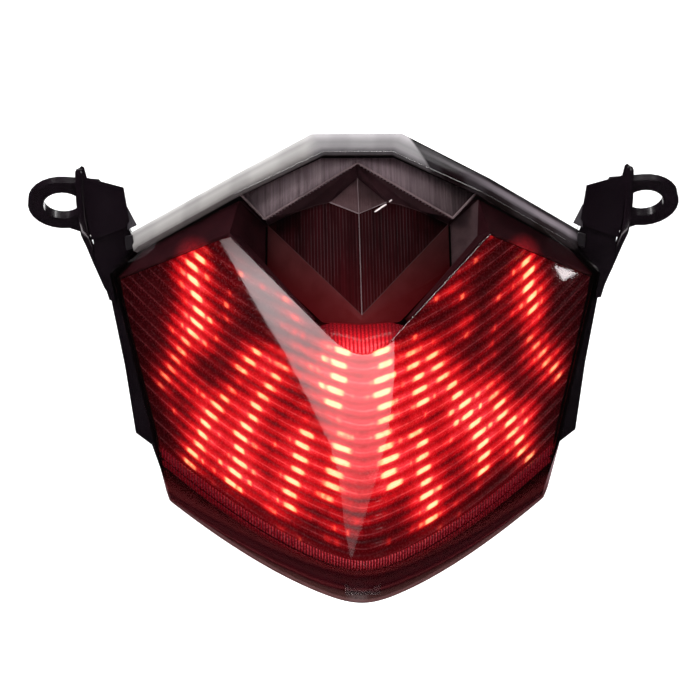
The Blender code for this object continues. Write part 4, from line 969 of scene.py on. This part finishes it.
def kite_material(
    name, low, high, rough, emit=0.0, streaks=0.0, specular=0.18, shade=None, glow_patch=False,
    lines=0.0, line_colour=None,
):
    """Reflector plastic mottled from low to high, with a painted red glow towards the bottom.

    streaks draws the mottling out in y and z, lines adds painted highlights on the flute crests,
    shade multiplies the colour from left to right as painted light and shade, glow_patch adds a
    painted red glow near the top of the optic.
    """
    mat = new_material(name)
    pattern = mat.noise(scale=160, detail=4, rough=0.6)
    fine = mat.noise(scale=2600, detail=2, rough=0.6)
    if streaks:
        pulled = mat.noise(scale=900, rough=0.75, vector=mat.squeezed(0.02))
        pattern = mat.add(mat.multiply(pattern, 1 - streaks), mat.multiply(pulled, streaks))
    colour = mat.mottle(pattern, low, high)
    if lines:
        phase = mat.multiply(mat.position()[0], math.pi / (FLUTE_PITCH / 1000))
        crest = mat.math("POWER", mat.magnitude(mat.math("COSINE", phase)), 9.0)
        patchy = mat.noise(scale=130, rough=0.7, vector=mat.squeezed(0.25))
        patchy = mat.remap(patchy, over=(0.38, 0.66), to=(0.10, 1.0))
        share = mat.multiply(mat.multiply(crest, patchy), lines)
        colour = mat.mix(share, colour, line_colour)
    if shade:
        across = mat.remap(mat.position()[0], over=(-0.035, 0.035), linear=True)
        colour = mat.mix(1.0, colour, mat.ramp(across, shade), blend="MULTIPLY")
    height = mat.position()[2]
    # painted red glow, stronger towards the bottom
    red = mat.remap(height, over=(0.034, 0.006), to=(0.0, emit))
    if glow_patch:
        # painted red glow patch near the top of the optic, spotted
        place = mat.node("CombineXYZ", X=mat.magnitude(mat.position()[0]), Y=0.0, Z=height)
        centre = (0.0490, 0.0, 0.0278)
        away = mat.node(
            "VectorMath", place, centre, out="Value", settings=dict(operation="DISTANCE")
        )
        dots = mat.noise(scale=900, detail=2, rough=0.6)
        dots = mat.remap(dots, over=(0.35, 0.65), to=(0.6, 1.0))
        patch = mat.remap(away, over=(0.0072, 0.001), to=(0.0, 1.1))
        red = mat.add(red, mat.multiply(patch, dots))
    return mat.surface(mat.principled(
        colour, mat.remap(pattern, to=(rough * 0.8, rough * 1.25)), Metallic=0.0,
        Emission__Color=(0.4, 0.012, 0.02), Emission__Strength=red,
        Normal=mat.bump(fine, strength=0.08), Specular__IOR__Level=specular,
    ))


# corners of the centre optic, right half: (x, z, forward)
KITE_TOP, KITE_APEX, KITE_LOW = (0, 51.0, 34.0), (0, 40.3, 43.5), (0, 10.6, 61.5)
KITE_WING, KITE_SHOULDER, KITE_ARC = (27.0, 37.0, 37.0), (8.4, 43.7, 39.0), (17.0, 41.4, 39.5)
KITE_EDGE, KITE_FOOT, KITE_CHIN = (27.2, 23.6, 40.0), (11.6, 8.6, 55.6), (0, 8.0, 60.0)
# panels of the right half: (outline, material slot); the second one is left plain
KITE_PANELS = (
    ((KITE_APEX, KITE_ARC, KITE_WING, KITE_LOW), 0),
    ((KITE_WING, KITE_EDGE, KITE_FOOT, KITE_CHIN, KITE_LOW), 1),
    ((KITE_APEX, KITE_TOP, KITE_SHOULDER), 2),
    ((KITE_APEX, KITE_SHOULDER, KITE_ARC), 0),
)


def build_kite():
    """The kite-shaped centre optic."""
    dark = kite_material(
        "smoked_optic_dark", (0.008, 0.0006, 0.0012), (0.075, 0.0070, 0.0115), rough=0.5,
        emit=0.12, streaks=0.85, specular=0.08, lines=0.5, line_colour=(0.20, 0.13, 0.145),
    )
    border = kite_material(
        "smoked_optic_frame", (0.15, 0.044, 0.046), (0.22, 0.070, 0.074), rough=0.42, emit=0.24
    )
    facet = kite_material(
        "smoked_optic_facet", (0.10, 0.062, 0.068), (0.32, 0.22, 0.235), rough=0.35, streaks=0.6
    )
    panels = [
        ([mirror(corner, side) for corner in outline], slot)
        for side in (1, -1)
        for outline, slot in KITE_PANELS
    ]
    fluted(
        "centre_optic", panels, FLUTE_PITCH, amplitude=0.05, thickness=1.8,
        materials=[dark, border, facet], slot="smoked_optic", replaces="centre_lens",
        plain=(1, 1 + len(KITE_PANELS)),
    )


# painted light and shade: colour gain of the roof from left to right
ROOF_SHADE = [
    (0.0, (0.30, 0.29, 0.29)), (0.16, (1.0, 1.0, 1.0)), (0.55, (0.95, 0.95, 0.96)),
    (0.72, (0.62, 0.60, 0.61)), (0.86, (0.34, 0.32, 0.32)), (1.0, (0.16, 0.14, 0.14)),
]
# right half of the roof: (x, z, forward)
ROOF_OUTLINE = (
    (0, 55.7, 34.9), (0, 57.0, 34.4), (10.9, 57.0, 34.8), (34.6, 45.9, 40.6), (27.8, 38.9, 44.0),
)


def build_roof():
    material = kite_material(
        "roof_reflector", (0.36, 0.31, 0.35), (1.0, 0.92, 0.99), rough=0.38, streaks=0.8,
        specular=0.3, lines=0.35, line_colour=(1.0, 0.95, 1.0), shade=ROOF_SHADE,
    )
    panels = [([mirror(corner, side) for corner in ROOF_OUTLINE], 0) for side in (1, -1)]
    fluted(
        "roof_reflector", panels, FLUTE_PITCH, amplitude=0.16, thickness=1.4,
        materials=[material], slot="silver_trim", replaces="roof_trim",
    )


# right half of the dark sheet that stands in for shade in the chamber, two four-sided panels: (x, z,
# forward)
SHADE_SHEET_PANELS = (
    ((0, 55.3, 34.0), (27.6, 38.9, 43.0), (27.0, 37.0, 36.6), (17.0, 41.4, 38.4)),
    ((0, 55.3, 34.0), (17.0, 41.4, 38.4), (8.4, 43.7, 38.0), (0, 51.0, 33.4)),
)


def build_shade_sheet():
    """Dark sheet that closes the space between the roof reflector and the centre optic, standing in
    for the shade there.
    """
    material = kite_material(
        "chamber_shade_sheet", (0.050, 0.019, 0.026), (0.095, 0.044, 0.055), rough=0.4, specular=0.3
    )
    points, faces = [], []
    for side in (1, -1):
        for panel in SHADE_SHEET_PANELS:
            faces.append(list(range(len(points), len(points) + 4)))
            points += [at(*mirror(corner, side)) for corner in panel]
    liner = make("chamber_shade_sheet", points, faces, [material])
    mount(liner, "smoked_optic", "centre_lens")
    bm = bmesh.new()
    bm.from_mesh(liner.data)
    bmesh.ops.remove_doubles(bm, verts=bm.verts, dist=1e-6)
    bmesh.ops.triangulate(bm, faces=bm.faces)
    bmesh.ops.recalc_face_normals(bm, faces=bm.faces)
    bm.to_mesh(liner.data)
    bm.free()
    face_forward(liner)
    add_wall(liner, 0.8)


# right half of the bezel: (x, z, forward)
BEZEL_CORNERS = (
    (35.6, 44.3, centre_facet(44.3) - 4.4),  # shoulder
    (38.4, crease_z(38.4) + 0.6, centre_facet(34.5) - 4.6),  # crease
    (64.6, 29.8, border_facet(64.6, 29.8) - 4.2),  # end
    (72.2, 21.7, border_facet(72.2, 21.7) - 3.6),  # outer
    (14.0, crease_z(14.0) + 0.7, centre_facet(9.9) - 6.0),  # vee
    (27.6, 37.0, 36.4),  # wing
    (27.8, crease_z(27.8) + 0.5, 39.6),  # edge
    (13.2, crease_z(13.2) + 0.5, 50.0),  # foot
    (9.6, 56.0, 29.0),  # flat
    (34.4, 44.4, 33.0),  # far
    (35.0, 33.6, 46.0),  # inner
)


def build_bezel():
    # the lighter grey wall is a lit copy of the maroon: painted light, used on the right side only
    lit_wall = kite_material(
        "bezel_wall_painted_light", (0.12, 0.085, 0.092), (0.24, 0.175, 0.19), rough=0.4
    )
    # maroon with a painted red glow and a painted red glow patch
    maroon = kite_material(
        "bezel_maroon", (0.046, 0.011, 0.017), (0.076, 0.021, 0.029), rough=0.5, emit=0.05,
        specular=0.1, glow_patch=True,
    )
    points, faces, slots, tops = [], [], [], []
    for side in (1, -1):
        shoulder, crease, end, outer, vee, wing, edge, foot, flat, far, inner = range(
            len(points), len(points) + len(BEZEL_CORNERS)
        )
        points += [at(*mirror(corner, side)) for corner in BEZEL_CORNERS]
        faces += [
            [shoulder, end, outer, crease], [crease, vee, foot, edge, inner],
            [shoulder, inner, edge, wing], [shoulder, crease, inner],
            [shoulder, wing, far], [far, wing, flat],
        ]
        # slot 1, the painted-light grey wall, goes on the right side only
        slots += [0, 0, 1 if side > 0 else 0, 0, 0, 0]
        tops.append((flat, wing))
    (right_flat, right_wing), (left_flat, left_wing) = tops
    faces.append([right_flat, left_flat, left_wing, right_wing])
    slots.append(0)
    bezel = make("inner_trim", points, faces, [maroon, lit_wall], face_slots=slots)
    mount(bezel, "bezel_black", "inner_bezel")
    face_forward(bezel)
    bezel.data.shade_smooth()
    add_wall(bezel, 1.0, even=True)
    add_bevel(bezel, width=0.12, segments=2, angle=25)
    add_weighted(bezel)


# right half of the chin: (x, z, forward)
CHIN_OUTLINE = (
    (0, vee_z(0) - 0.2, 66.9), (0, 7.6, 57.2), (8.8, 8.2, 55.4), (12.4, 7.3, 58.6),
    (8.6, 3.6, 64.2),
)


def chin_material():
    mat = new_material("red_chin")
    fine = mat.noise(scale=1800, detail=2, rough=0.6)
    place = mat.position()
    # painted red glow: brightest low in the middle and on each flute
    lit = mat.multiply(
        mat.remap(place[2], over=(0.0075, -0.001), to=(0.15, 1.0)),
        mat.remap(mat.magnitude(place[0]), over=(0.0125, 0.004), to=(0.15, 1.0)),
    )
    wave = mat.math("SINE", mat.multiply(place[0], 2 * math.pi / (CHIN_PITCH / 1000)))
    wave = mat.remap(wave, over=(-1.0, 1.0), to=(0.35, 1.0))
    bright = mat.multiply(mat.multiply(lit, wave), mat.remap(fine, to=(0.8, 1.15)))
    glow = mat.ramp(bright, [
        (0.0, (0.03, 0.002, 0.004)), (0.45, (0.6, 0.010, 0.018)), (1.0, (1.0, 0.10, 0.12))
    ])
    return mat.surface(mat.principled(
        (0.18, 0.005, 0.01), mat.remap(fine, to=(0.18, 0.3)),
        Emission__Color=glow, Emission__Strength=2.7, Normal=mat.bump(fine, strength=0.1),
    ))


def build_chin():
    """Small fluted red facet between the point of the V and the centre optic."""
    panels = [([mirror(corner, side) for corner in CHIN_OUTLINE], 0) for side in (1, -1)]
    fluted(
        "optic_chin", panels, CHIN_PITCH, amplitude=0.12, thickness=1.2,
        materials=[chin_material()], slot="red_lens", replaces="red_optic_lens",
    )


# rows of teeth: (name, top and bottom from the bead, set back from the lens, share of its width)
TOOTH_BANDS = (
    ("optic_tooth_band", -0.25, -2.75, 3.0, 0.97),
    ("lip_tooth_band", -4.0, -5.3, 4.2, 0.965),
)
TOOTH_HEIGHT = 0.25
TOOTH_STEPS = 136 * 4


def tooth_material():
    mat = new_material("tooth_band")
    fine = mat.noise(scale=1500, detail=2, rough=0.6)
    x = mat.position()[0]
    # painted red glow: brighter on each tooth and towards the middle
    wave = mat.math("SINE", mat.multiply(x, 2 * math.pi / (TOOTH_PITCH / 1000)))
    wave = mat.remap(wave, over=(-0.3, 0.8))
    inward = mat.remap(mat.magnitude(x), over=(0.058, 0.0), to=(0.35, 1.0), linear=True)
    bright = mat.multiply(mat.multiply(wave, inward), mat.remap(fine, to=(0.6, 1.2)))
    glow = mat.ramp(bright, [
        (0.0, (0.03, 0.001, 0.004)), (0.5, (0.30, 0.010, 0.020)), (1.0, (0.85, 0.10, 0.12))
    ])
    return mat.surface(mat.principled(
        (0.14, 0.004, 0.008), mat.remap(fine, to=(0.2, 0.35)),
        Emission__Color=glow, Emission__Strength=1.3, Normal=mat.bump(fine, strength=0.1),
    ))


def build_tooth_bands():
    """Two rows of fine vertical teeth along the lower edge."""
    material = tooth_material()
    for name, top, low, set_back, width_share in TOOTH_BANDS:
        verts = []
        for i in range(TOOTH_STEPS + 1):
            share = -1 + 2 * i / TOOTH_STEPS
            bead_x, z = lower_edge(BEAD, abs(share))
            x = math.copysign(bead_x, share) * width_share
            tooth = TOOTH_HEIGHT * abs(math.cos(math.pi * x / TOOTH_PITCH))
            lip_height = z - lower_edge(LIP_MID, abs(share))[1]
            for drop in (top, low):
                forward = lens_face(bead_x, z) - set_back + LIP_STEP * drop / lip_height + tooth
                verts.append(at(x, z + drop, forward))
        faces = [[2 * i, 2 * i + 1, 2 * i + 3, 2 * i + 2] for i in range(TOOTH_STEPS)]
        band = make(name, verts, faces, [material], smooth=60)
        mount(band, "red_lens", "red_optic_lens")
        face_forward(band)
        add_wall(band, 0.8)


# ------------------------------------------------------------------ fine edges and ear details
def tube(name, line, radius, material, slot, replaces=None, sides=10, flat=1.0, taper=1.0):
    """Round-ended bead along (x, z, forward) points.

    flat squeezes it front to back, taper is the share of its radius left at the far end.
    """
    points = [at(*point) for point in line]
    radius /= 1000
    first = (points[1] - points[0]).normalized()
    last = (points[-1] - points[-2]).normalized()
    # (point, share of the radius), with two narrower rings at each end
    path = [(points[0] - first * radius * 0.9, 0.25), (points[0] - first * radius * 0.6, 0.75)]
    path += [(point, 1.0) for point in points]
    path += [(points[-1] + last * radius * 0.6, 0.75), (points[-1] + last * radius * 0.9, 0.25)]
    verts = []
    for i, (centre, size) in enumerate(path):
        size *= 1 - (1 - taper) * max(0.0, (i / (len(path) - 1) - 0.5) * 2)
        before, after = path[max(i - 1, 0)][0], path[min(i + 1, len(path) - 1)][0]
        along = (after - before).normalized()
        across = Vector((0, -1, 0)).cross(along).normalized()
        outward = along.cross(across).normalized()
        for j in range(sides):
            angle = 2 * math.pi * j / sides
            spoke = across * math.cos(angle) + outward * math.sin(angle) * flat
            verts.append(centre + spoke * radius * size)
    faces = []
    for i in range(len(path) - 1):
        for j in range(sides):
            k = (j + 1) % sides
            near, far = i * sides, (i + 1) * sides
            faces.append([near + j, near + k, far + k, far + j])
    faces.append(list(range(sides)))
    faces.append([(len(path) - 1) * sides + j for j in reversed(range(sides))])
    mount(make(name, verts, faces, [material], smooth=50), slot, replaces)


def slab(name, outline, front, depth, material, bevel, slot):
    """Flat plate with the given (x, z) outline, its edges rounded."""
    count = len(outline)
    verts = [at(x, z, forward) for forward in (front, front - depth) for x, z in outline]
    faces = [list(range(count)), [count + i for i in reversed(range(count))]]
    for i in range(count):
        after = (i + 1) % count
        faces.append([after, i, count + i, count + after])
    plate = make(name, verts, faces, [material])
    mount(plate, slot)
    plate.data.shade_smooth()
    add_bevel(plate, bevel, segments=3, angle=30)
    add_weighted(plate)


ROOF_PART = dict(slot="silver_trim", replaces="roof_trim")
OPTIC_PART = dict(slot="smoked_optic", replaces="centre_lens")
# edges drawn as thin beads, the bright ones painted highlights: (name, radius on the right, radius
# on the left, bright, part, line on the right)
EDGES = (
    ("roof", 0.30, 0.30, True, ROOF_PART, ((27.9, 38.8, 44.5), (0.1, 55.5, 35.4))),
    ("roof_end", 0.36, 0.36, True, ROOF_PART, ((27.9, 38.8, 44.5), (34.7, 45.8, 41.3))),
    ("facet", 0.12, 0.22, True, OPTIC_PART, ((0.1, 40.3, 43.6), (8.4, 43.7, 39.2))),
    ("arc", 0.10, 0.10, False, OPTIC_PART, (
        (8.4, 43.7, 39.1), (12.8, 42.9, 39.3), (17.0, 41.4, 39.6), (22.0, 39.6, 38.4),
        (26.8, 37.1, 37.1),
    )),
    ("frame", 0.11, 0.06, False, OPTIC_PART, ((26.9, 36.9, 37.1), (0.2, 10.8, 61.6))),
)
RIDGE_LINE = ((0, 51.0, 34.2), (0, 40.3, 43.7), (0, 10.7, 61.7))
PIP_LINE = ((4.9, 40.8, 42.2), (6.9, 42.2, 41.0), (8.2, 43.0, 40.4))
SMALL_PIP_LINE = ((9.3, 43.9, 39.9), (9.9, 44.3, 39.7))


def glint_pip_material():
    mat = new_material("glint_pip")
    fine = mat.noise(scale=900, rough=0.6)
    # the pip glows white: a painted glint
    return mat.surface(mat.principled(
        mat.mottle(fine, (0.8, 0.78, 0.78), (1.0, 1.0, 1.0)), rough=0.2, Metallic=0.6,
        Emission__Color=(1, 0.97, 0.97), Emission__Strength=mat.remap(fine, to=(0.9, 1.6)),
        Normal=mat.bump(fine, strength=0.1),
    ))


def build_edges():
    """Thin beads along edges, the bright ones painted highlights, and two pips inside the centre
    chamber that glow as painted glints.
    """
    bright = moulded(
        "edge_highlight", colour=(0.62, 0.54, 0.57), rough=0.25, vary=0.3, dusty=0.0
    )
    soft = moulded("soft_edge", colour=(0.15, 0.08, 0.085), rough=0.35, vary=0.3, dusty=0.0)
    for side, tag in ((1, "right"), (-1, "left")):
        for name, right_radius, left_radius, is_bright, part, line in EDGES:
            radius = right_radius if side > 0 else left_radius
            material = bright if is_bright else soft
            line = [mirror(point, side) for point in line]
            tube(f"edge_{name}_{tag}", line, radius, material, **part)
    tube("edge_ridge", RIDGE_LINE, 0.13, bright, **OPTIC_PART)
    pip = glint_pip_material()
    tube("optic_pip", PIP_LINE, 0.24, pip, flat=0.5, **OPTIC_PART)
    tube("optic_pip_small", SMALL_PIP_LINE, 0.2, pip, flat=0.5, **OPTIC_PART)


# rib along the outer edge of the right ear, from the top: (x, z, forward)
EAR_RIB = (
    (83.9, 53.6, 19.6), (83.9, 50.5, 19.7), (83.7, 45.0, 19.7), (83.2, 39.0, 19.6),
    (82.3, 34.6, 19.0), (80.9, 31.0, 17.6), (79.4, 26.5, 15.6), (77.9, 22.5, 14.4),
    (76.4, 18.5, 13.8),
)
# outlines on the right side: (x, z)
EAR_CLIP = ((70.3, 34.0), (67.9, 34.6), (67.3, 30.6), (69.9, 29.7))
EAR_FIN = ((66.6, 37.4), (69.6, 43.2), (69.6, 36.0))


def fin_material():
    mat = new_material("clear_fin")
    pattern = mat.noise(scale=200)
    return mat.surface(mat.node(
        "MixShader", mat.remap(pattern, to=(0.80, 0.92)),
        mat.node("BsdfTransparent", (0.75, 0.74, 0.76)),
        mat.node("BsdfDiffuse", mat.mottle(pattern, (0.05, 0.04, 0.05), (0.09, 0.08, 0.09))),
    ))


def build_ear_details():
    """Tapered rib along the outer edge of each ear plate, with a small clip and a clear fin."""
    fin = fin_material()
    clip = moulded("clip_grey", colour=(0.012, 0.009, 0.012), rough=0.35)
    rib = [EAR_RIB[0]]
    for start, end in zip(EAR_RIB, EAR_RIB[1:]):
        rib += [
            tuple(a + (b - a) * share for a, b in zip(start, end)) for share in (0.34, 0.67, 1.0)
        ]
    for side, tag in ((1, "right"), (-1, "left")):
        tube(
            "ear_rib_" + tag, [mirror(point, side) for point in rib], 1.35,
            MATERIALS["black_plastic"], "black_plastic", sides=14, flat=0.8, taper=0.35,
        )
        slab(
            "ear_clip_" + tag, [(side * x, z) for x, z in EAR_CLIP], front=21.6, depth=2.0,
            material=clip, bevel=0.35, slot="black_plastic",
        )
        slab(
            "ear_fin_" + tag, [(side * x, z) for x, z in EAR_FIN], front=19.4, depth=0.9,
            material=fin, bevel=0.2, slot="smoked_lens",
        )


# ------------------------------------------------------------------ CAD pieces that need finish
# piece: (material, bevel width)
FINISH = {
    "lens_gasket": ("rubber_black", 0.0),
    "led_carrier": ("carrier_plastic", 0.0),
    "led_board_left": ("circuit_board", 0.0),
    "led_board_right": ("circuit_board", 0.0),
    "bulb_holder": ("grey_plastic", 0.35),
    "holder_seal": ("rubber_black", 0.2),
    "holder_contact_1": ("brass_contact", 0.1),
    "holder_contact_2": ("brass_contact", 0.1),
    "bulb": ("clear_plastic", 0.0),
    "plate_window": ("clear_plastic", 0.3),
    "plate_led_board": ("circuit_board", 0.15),
    "plate_led": ("clear_plastic", 0.0),
    "wire_ground": ("wire_black", 0.0),
    "wire_tail": ("wire_red", 0.0),
    "wire_stop": ("wire_yellow", 0.0),
    "wire_grommet": ("rubber_black", 0.3),
    "connector_body": ("connector_black", 0.35),
    "connector_latch": ("connector_black", 0.25),
    "terminal_1": ("brass_contact", 0.1),
    "terminal_2": ("brass_contact", 0.1),
    "terminal_3": ("brass_contact", 0.1),
    "breather_cap": ("rubber_black", 0.2),
    "driver_module": ("black_plastic", 0.4),
    "housing": ("black_plastic", 0.45),
}


def finish_for(name):
    if name in FINISH:
        return FINISH[name]
    if name.startswith("led_"):
        return "led_red", 0.12
    if "screw" in name:
        return "zinc_steel", 0.12
    return "black_plastic", 0.2


def finish_piece(obj, material, bevel):
    obj.data.materials.clear()
    obj.data.materials.append(MATERIALS[material])
    if bevel:
        # joined and flattened first, so that only true edges are rounded
        weld = obj.modifiers.new("weld", "WELD")
        weld.merge_threshold = 1e-6
        flat = obj.modifiers.new("flat", "DECIMATE")
        flat.decimate_type = "DISSOLVE"
        flat.angle_limit = math.radians(0.8)
        add_bevel(obj, bevel, segments=2, angle=28)
        for polygon in obj.data.polygons:
            polygon.use_smooth = True
        add_weighted(obj)


build_lens()
build_flange()
build_optic()
build_kite()
build_roof()
build_bezel()
build_shade_sheet()
build_chin()
build_tooth_bands()
build_edges()
build_ear_details()
for name in sorted(NODES):
    if not NODES[name].hide_render:
        finish_piece(NODES[name], *finish_for(name))


# ------------------------------------------------------------------ camera
# metres and degrees from here on, except for points on the lens
TARGET, DISTANCE = Vector((0, -0.050, 0)), 0.85
AZIMUTH, ELEVATION, ROLL = (math.radians(angle) for angle in (-2.3, 2.0, -0.32))
BACK = Vector((
    math.sin(AZIMUTH) * math.cos(ELEVATION),
    -math.cos(AZIMUTH) * math.cos(ELEVATION),
    math.sin(ELEVATION),
))
EYE = TARGET + BACK * DISTANCE


def build_camera():
    level_right = Vector((math.cos(AZIMUTH), math.sin(AZIMUTH), 0))
    level_up = BACK.cross(level_right)
    right = level_right * math.cos(ROLL) + level_up * math.sin(ROLL)
    up = level_up * math.cos(ROLL) - level_right * math.sin(ROLL)
    data = bpy.data.cameras.new("photo_camera")
    data.sensor_width = 36.0
    data.lens = 148.2
    data.shift_x = -0.015
    data.clip_start, data.clip_end = 0.05, 20
    camera = bpy.data.objects.new("photo_camera", data)
    rows = [(right[i], up[i], BACK[i], 0) for i in range(3)]
    camera.matrix_world = Matrix((*rows, (0, 0, 0, 1)))
    camera.location = EYE
    bpy.context.scene.collection.objects.link(camera)
    bpy.context.scene.camera = camera


# ------------------------------------------------------------------ light cards mirrored in the lens
def mirrored(point, normal, radius=0.6):
    """Where the sight line mirrored at a point of the surface meets a sphere round the object."""
    view = (EYE - point).normalized()
    ray = normal * (2 * normal.dot(view)) - view
    offset = point - TARGET
    along = offset.dot(ray)
    reach = math.sqrt(along * along - offset.dot(offset) + radius * radius)
    return point + ray * (-along + reach)


def on_lens(x, z):
    slope = MAIN_SLOPE * (math.copysign(1, x) if abs(x) >= RIDGE else x / RIDGE)
    return mirrored(at(x, z, lens_face(x, z)), Vector((slope, -1, -MAIN_LEAN)).normalized())


LIP_HALF_WIDTH = 57.8


def lip_point(share, down):
    """Point of the lower strip of the lip, down 0 at its top and 1 at its bottom."""
    size = abs(share)
    mid_x, mid_z = lower_edge(LIP_MID, size)
    low_x, low_z = lower_edge(LIP_LOW, size)
    forward = lens_face(*lower_edge(BEAD, size)) - LIP_STEP
    forward -= (LIP_STEP + LIP_STEP * (1 - lip_turn(size))) * down
    side = -1 if share < 0 else 1
    return at(side * (mid_x + (low_x - mid_x) * down), mid_z + (low_z - mid_z) * down, forward)


def on_lip(x, z):
    share = x / LIP_HALF_WIDTH
    mid_z = lower_edge(LIP_MID, abs(share))[1]
    low_z = lower_edge(LIP_LOW, abs(share))[1]
    down = (z - mid_z) / (low_z - mid_z)
    across = lip_point(share + 0.01, down) - lip_point(share - 0.01, down)
    downward = lip_point(share, down + 0.02) - lip_point(share, down - 0.02)
    normal = across.cross(downward).normalized()
    if normal.y > 0:
        normal.negate()
    return mirrored(lip_point(share, down), normal, radius=0.3)


def along_line(line, share):
    """Values at a share of the way along a list of evenly spaced stations."""
    position = share * (len(line) - 1)
    i = min(int(position), len(line) - 2)
    return tuple(a + (b - a) * (position - i) for a, b in zip(line[i], line[i + 1]))


def build_card(name, left, right, strength, power, place, rows=60, columns=40, soft=0.0):
    """Light card whose mirror image fills the outline between two (x, z) lines on the lens.

    strength runs down the lines, place finds the card point for a point of the lens, and soft
    is the share of the card over which its edges fade.
    """
    verts, faces, level = [], [], []
    for j in range(rows + 1):
        down = j / rows
        (x_a, z_a), (x_b, z_b) = along_line(left, down), along_line(right, down)
        gain = along_line([(value,) for value in strength], down)[0]
        for i in range(columns + 1):
            across = i / columns
            verts.append(place(x_a + (x_b - x_a) * across, z_a + (z_b - z_a) * across))
            margin = min(across, 1 - across, down, 1 - down)
            level.append(gain * (min(1.0, margin / soft) if soft else 1.0))
    for j in range(rows):
        for i in range(columns):
            first = j * (columns + 1) + i
            faces.append([first, first + 1, first + columns + 2, first + columns + 1])
    mat = new_material(name)
    light = mat.multiply(mat.attribute("power"), power)
    glow = mat.node("Emission", Color=(1.0, 0.92, 0.94), Strength=light)
    card = make(name, verts, faces, [mat.surface(glow)])
    set_attribute(card, "power", level)
    # seen only in reflections
    for ray in ("camera", "diffuse", "transmission", "shadow", "volume_scatter"):
        setattr(card, "visible_" + ray, False)


def build_cards():
    build_card(
        "card_wedge",
        left=[
            (-42.9, 37.1), (-41.1, 32.9), (-34.6, 20.9), (-28.9, 10.7), (-22.4, -0.2),
            (-15.3, -14.7), (-9.6, -26.9), (-7.9, -32.7), (-6.8, -38.6), (-5.4, -51.8),
            (-3.9, -60.1),
        ],
        right=[
            (-30.3, 36.9), (-28.0, 32.8), (-15.1, 20.9), (-2.1, 10.7), (8.9, 3.6), (8.9, -6.6),
            (8.0, -16.7), (6.8, -24.6), (4.7, -32.7), (3.3, -37.6), (-3.4, -60.1),
        ],
        strength=[0.38, 0.6, 1.5, 1.35, 1.0, 0.75, 0.50, 0.34, 0.24, 0.2, 0.2],
        power=5.2, place=on_lens,
    )
    build_card(
        "card_corner", left=[(59.0, 24.8), (61.9, 20.0)], right=[(59.2, 24.7), (66.8, 22.2)],
        strength=[1.0, 1.0], power=17.0, place=on_lens, rows=12, columns=12,
    )
    build_card(
        "card_lip", left=[(-4.0, -74.0), (-5.0, -74.6), (-4.0, -75.2)],
        right=[(1.3, -74.0), (2.3, -74.6), (1.3, -75.2)],
        strength=[1.0, 1.0, 1.0], power=5.0, place=on_lip, rows=12, columns=16, soft=0.35,
    )


# ------------------------------------------------------------------ floor, world, lights
FLOOR_Z, FLOOR_FRONT, FLOOR_HALF_WIDTH = -0.17, -2.2, 2.6
SWEEP_START, SWEEP_RADIUS, SWEEP_STEPS, BACKDROP_TOP = 0.9, 0.6, 16, 2.4


def floor_material():
    """Almost white to the camera, dark in reflections, clear from below."""
    mat = new_material("pale_floor")
    path = mat.node("LightPath").node.outputs
    paint = mat.node("BsdfDiffuse", mat.remap(mat.noise(scale=6), to=(0.86, 0.90)))
    glow = mat.node("Emission", Color=(1, 1, 1), Strength=0.98)
    seen = mat.node("AddShader", paint, glow)
    dark = mat.node("BsdfDiffuse", (0.02, 0.02, 0.02))
    unseen = mat.node("MixShader", path["Is Glossy Ray"], paint, dark)
    above = mat.node("MixShader", path["Is Camera Ray"], unseen, seen)
    clear = mat.node("BsdfTransparent", (1, 1, 1))
    return mat.surface(mat.node("MixShader", mat.facing_back(), above, clear))


def build_floor():
    profile = [(FLOOR_FRONT, FLOOR_Z), (SWEEP_START, FLOOR_Z)]
    for k in range(1, SWEEP_STEPS + 1):
        angle = math.pi / 2 * k / SWEEP_STEPS
        y = SWEEP_START + SWEEP_RADIUS * math.sin(angle)
        profile.append((y, FLOOR_Z + SWEEP_RADIUS * (1 - math.cos(angle))))
    profile.append((SWEEP_START + SWEEP_RADIUS, BACKDROP_TOP))
    verts = [(x, y, z) for y, z in profile for x in (-FLOOR_HALF_WIDTH, FLOOR_HALF_WIDTH)]
    faces = [[2 * i, 2 * i + 1, 2 * i + 3, 2 * i + 2] for i in range(len(profile) - 1)]
    floor = make("floor_sweep", verts, faces, [floor_material()], smooth=60)
    if floor.data.polygons[0].normal.z < 0:
        floor.data.flip_normals()
    floor.visible_glossy = False


def build_world():
    world = Shader(bpy.data.worlds.new("studio"), "ShaderNodeOutputWorld")
    bpy.context.scene.world = world.owner
    path = world.node("LightPath").node.outputs
    ambient, seen, reflected = (
        world.node("Background", Color=(1, 1, 1), Strength=strength)
        for strength in (0.24, 1.0, 0.012)
    )
    unseen = world.node("MixShader", path["Is Glossy Ray"], ambient, reflected)
    world.surface(world.node("MixShader", path["Is Camera Ray"], unseen, seen))


def area(name, direction, distance, size, power):
    """Rectangular light in the given direction from the target, turned towards it."""
    light = bpy.data.lights.new(name, "AREA")
    light.shape = "RECTANGLE"
    light.size, light.size_y = size
    light.energy = power
    obj = bpy.data.objects.new(name, light)
    direction = Vector(direction).normalized()
    obj.location = TARGET + direction * distance
    obj.rotation_mode = "QUATERNION"
    obj.rotation_quaternion = direction.to_track_quat("Z", "Y")
    bpy.context.scene.collection.objects.link(obj)
    return obj


# (name, direction, distance, (width, height), power in watts)
LIGHTS = (
    ("softbox_top", (0.0, 0.35, 1.0), 0.8, (0.9, 0.5), 9.0),
    ("softbox_left", (-0.8, -0.35, 0.75), 0.9, (0.45, 0.45), 5.0),
    ("softbox_right", (0.55, -0.66, 0.52), 0.9, (0.2, 0.2), 1.2),
    ("softbox_back", (0.1, 1.0, 0.35), 1.0, (0.8, 0.5), 3.0),
)

build_camera()
build_cards()
build_floor()
build_world()
lights = {row[0]: area(*row) for row in LIGHTS}
lights["softbox_left"].visible_glossy = False

scene = bpy.context.scene
scene.view_settings.view_transform = "Standard"
scene.view_settings.look = "None"
scene.cycles.use_denoising = True
scene.cycles.max_bounces = 8
scene.cycles.transparent_max_bounces = 24
scene.cycles.caustics_reflective = False
scene.cycles.caustics_refractive = False
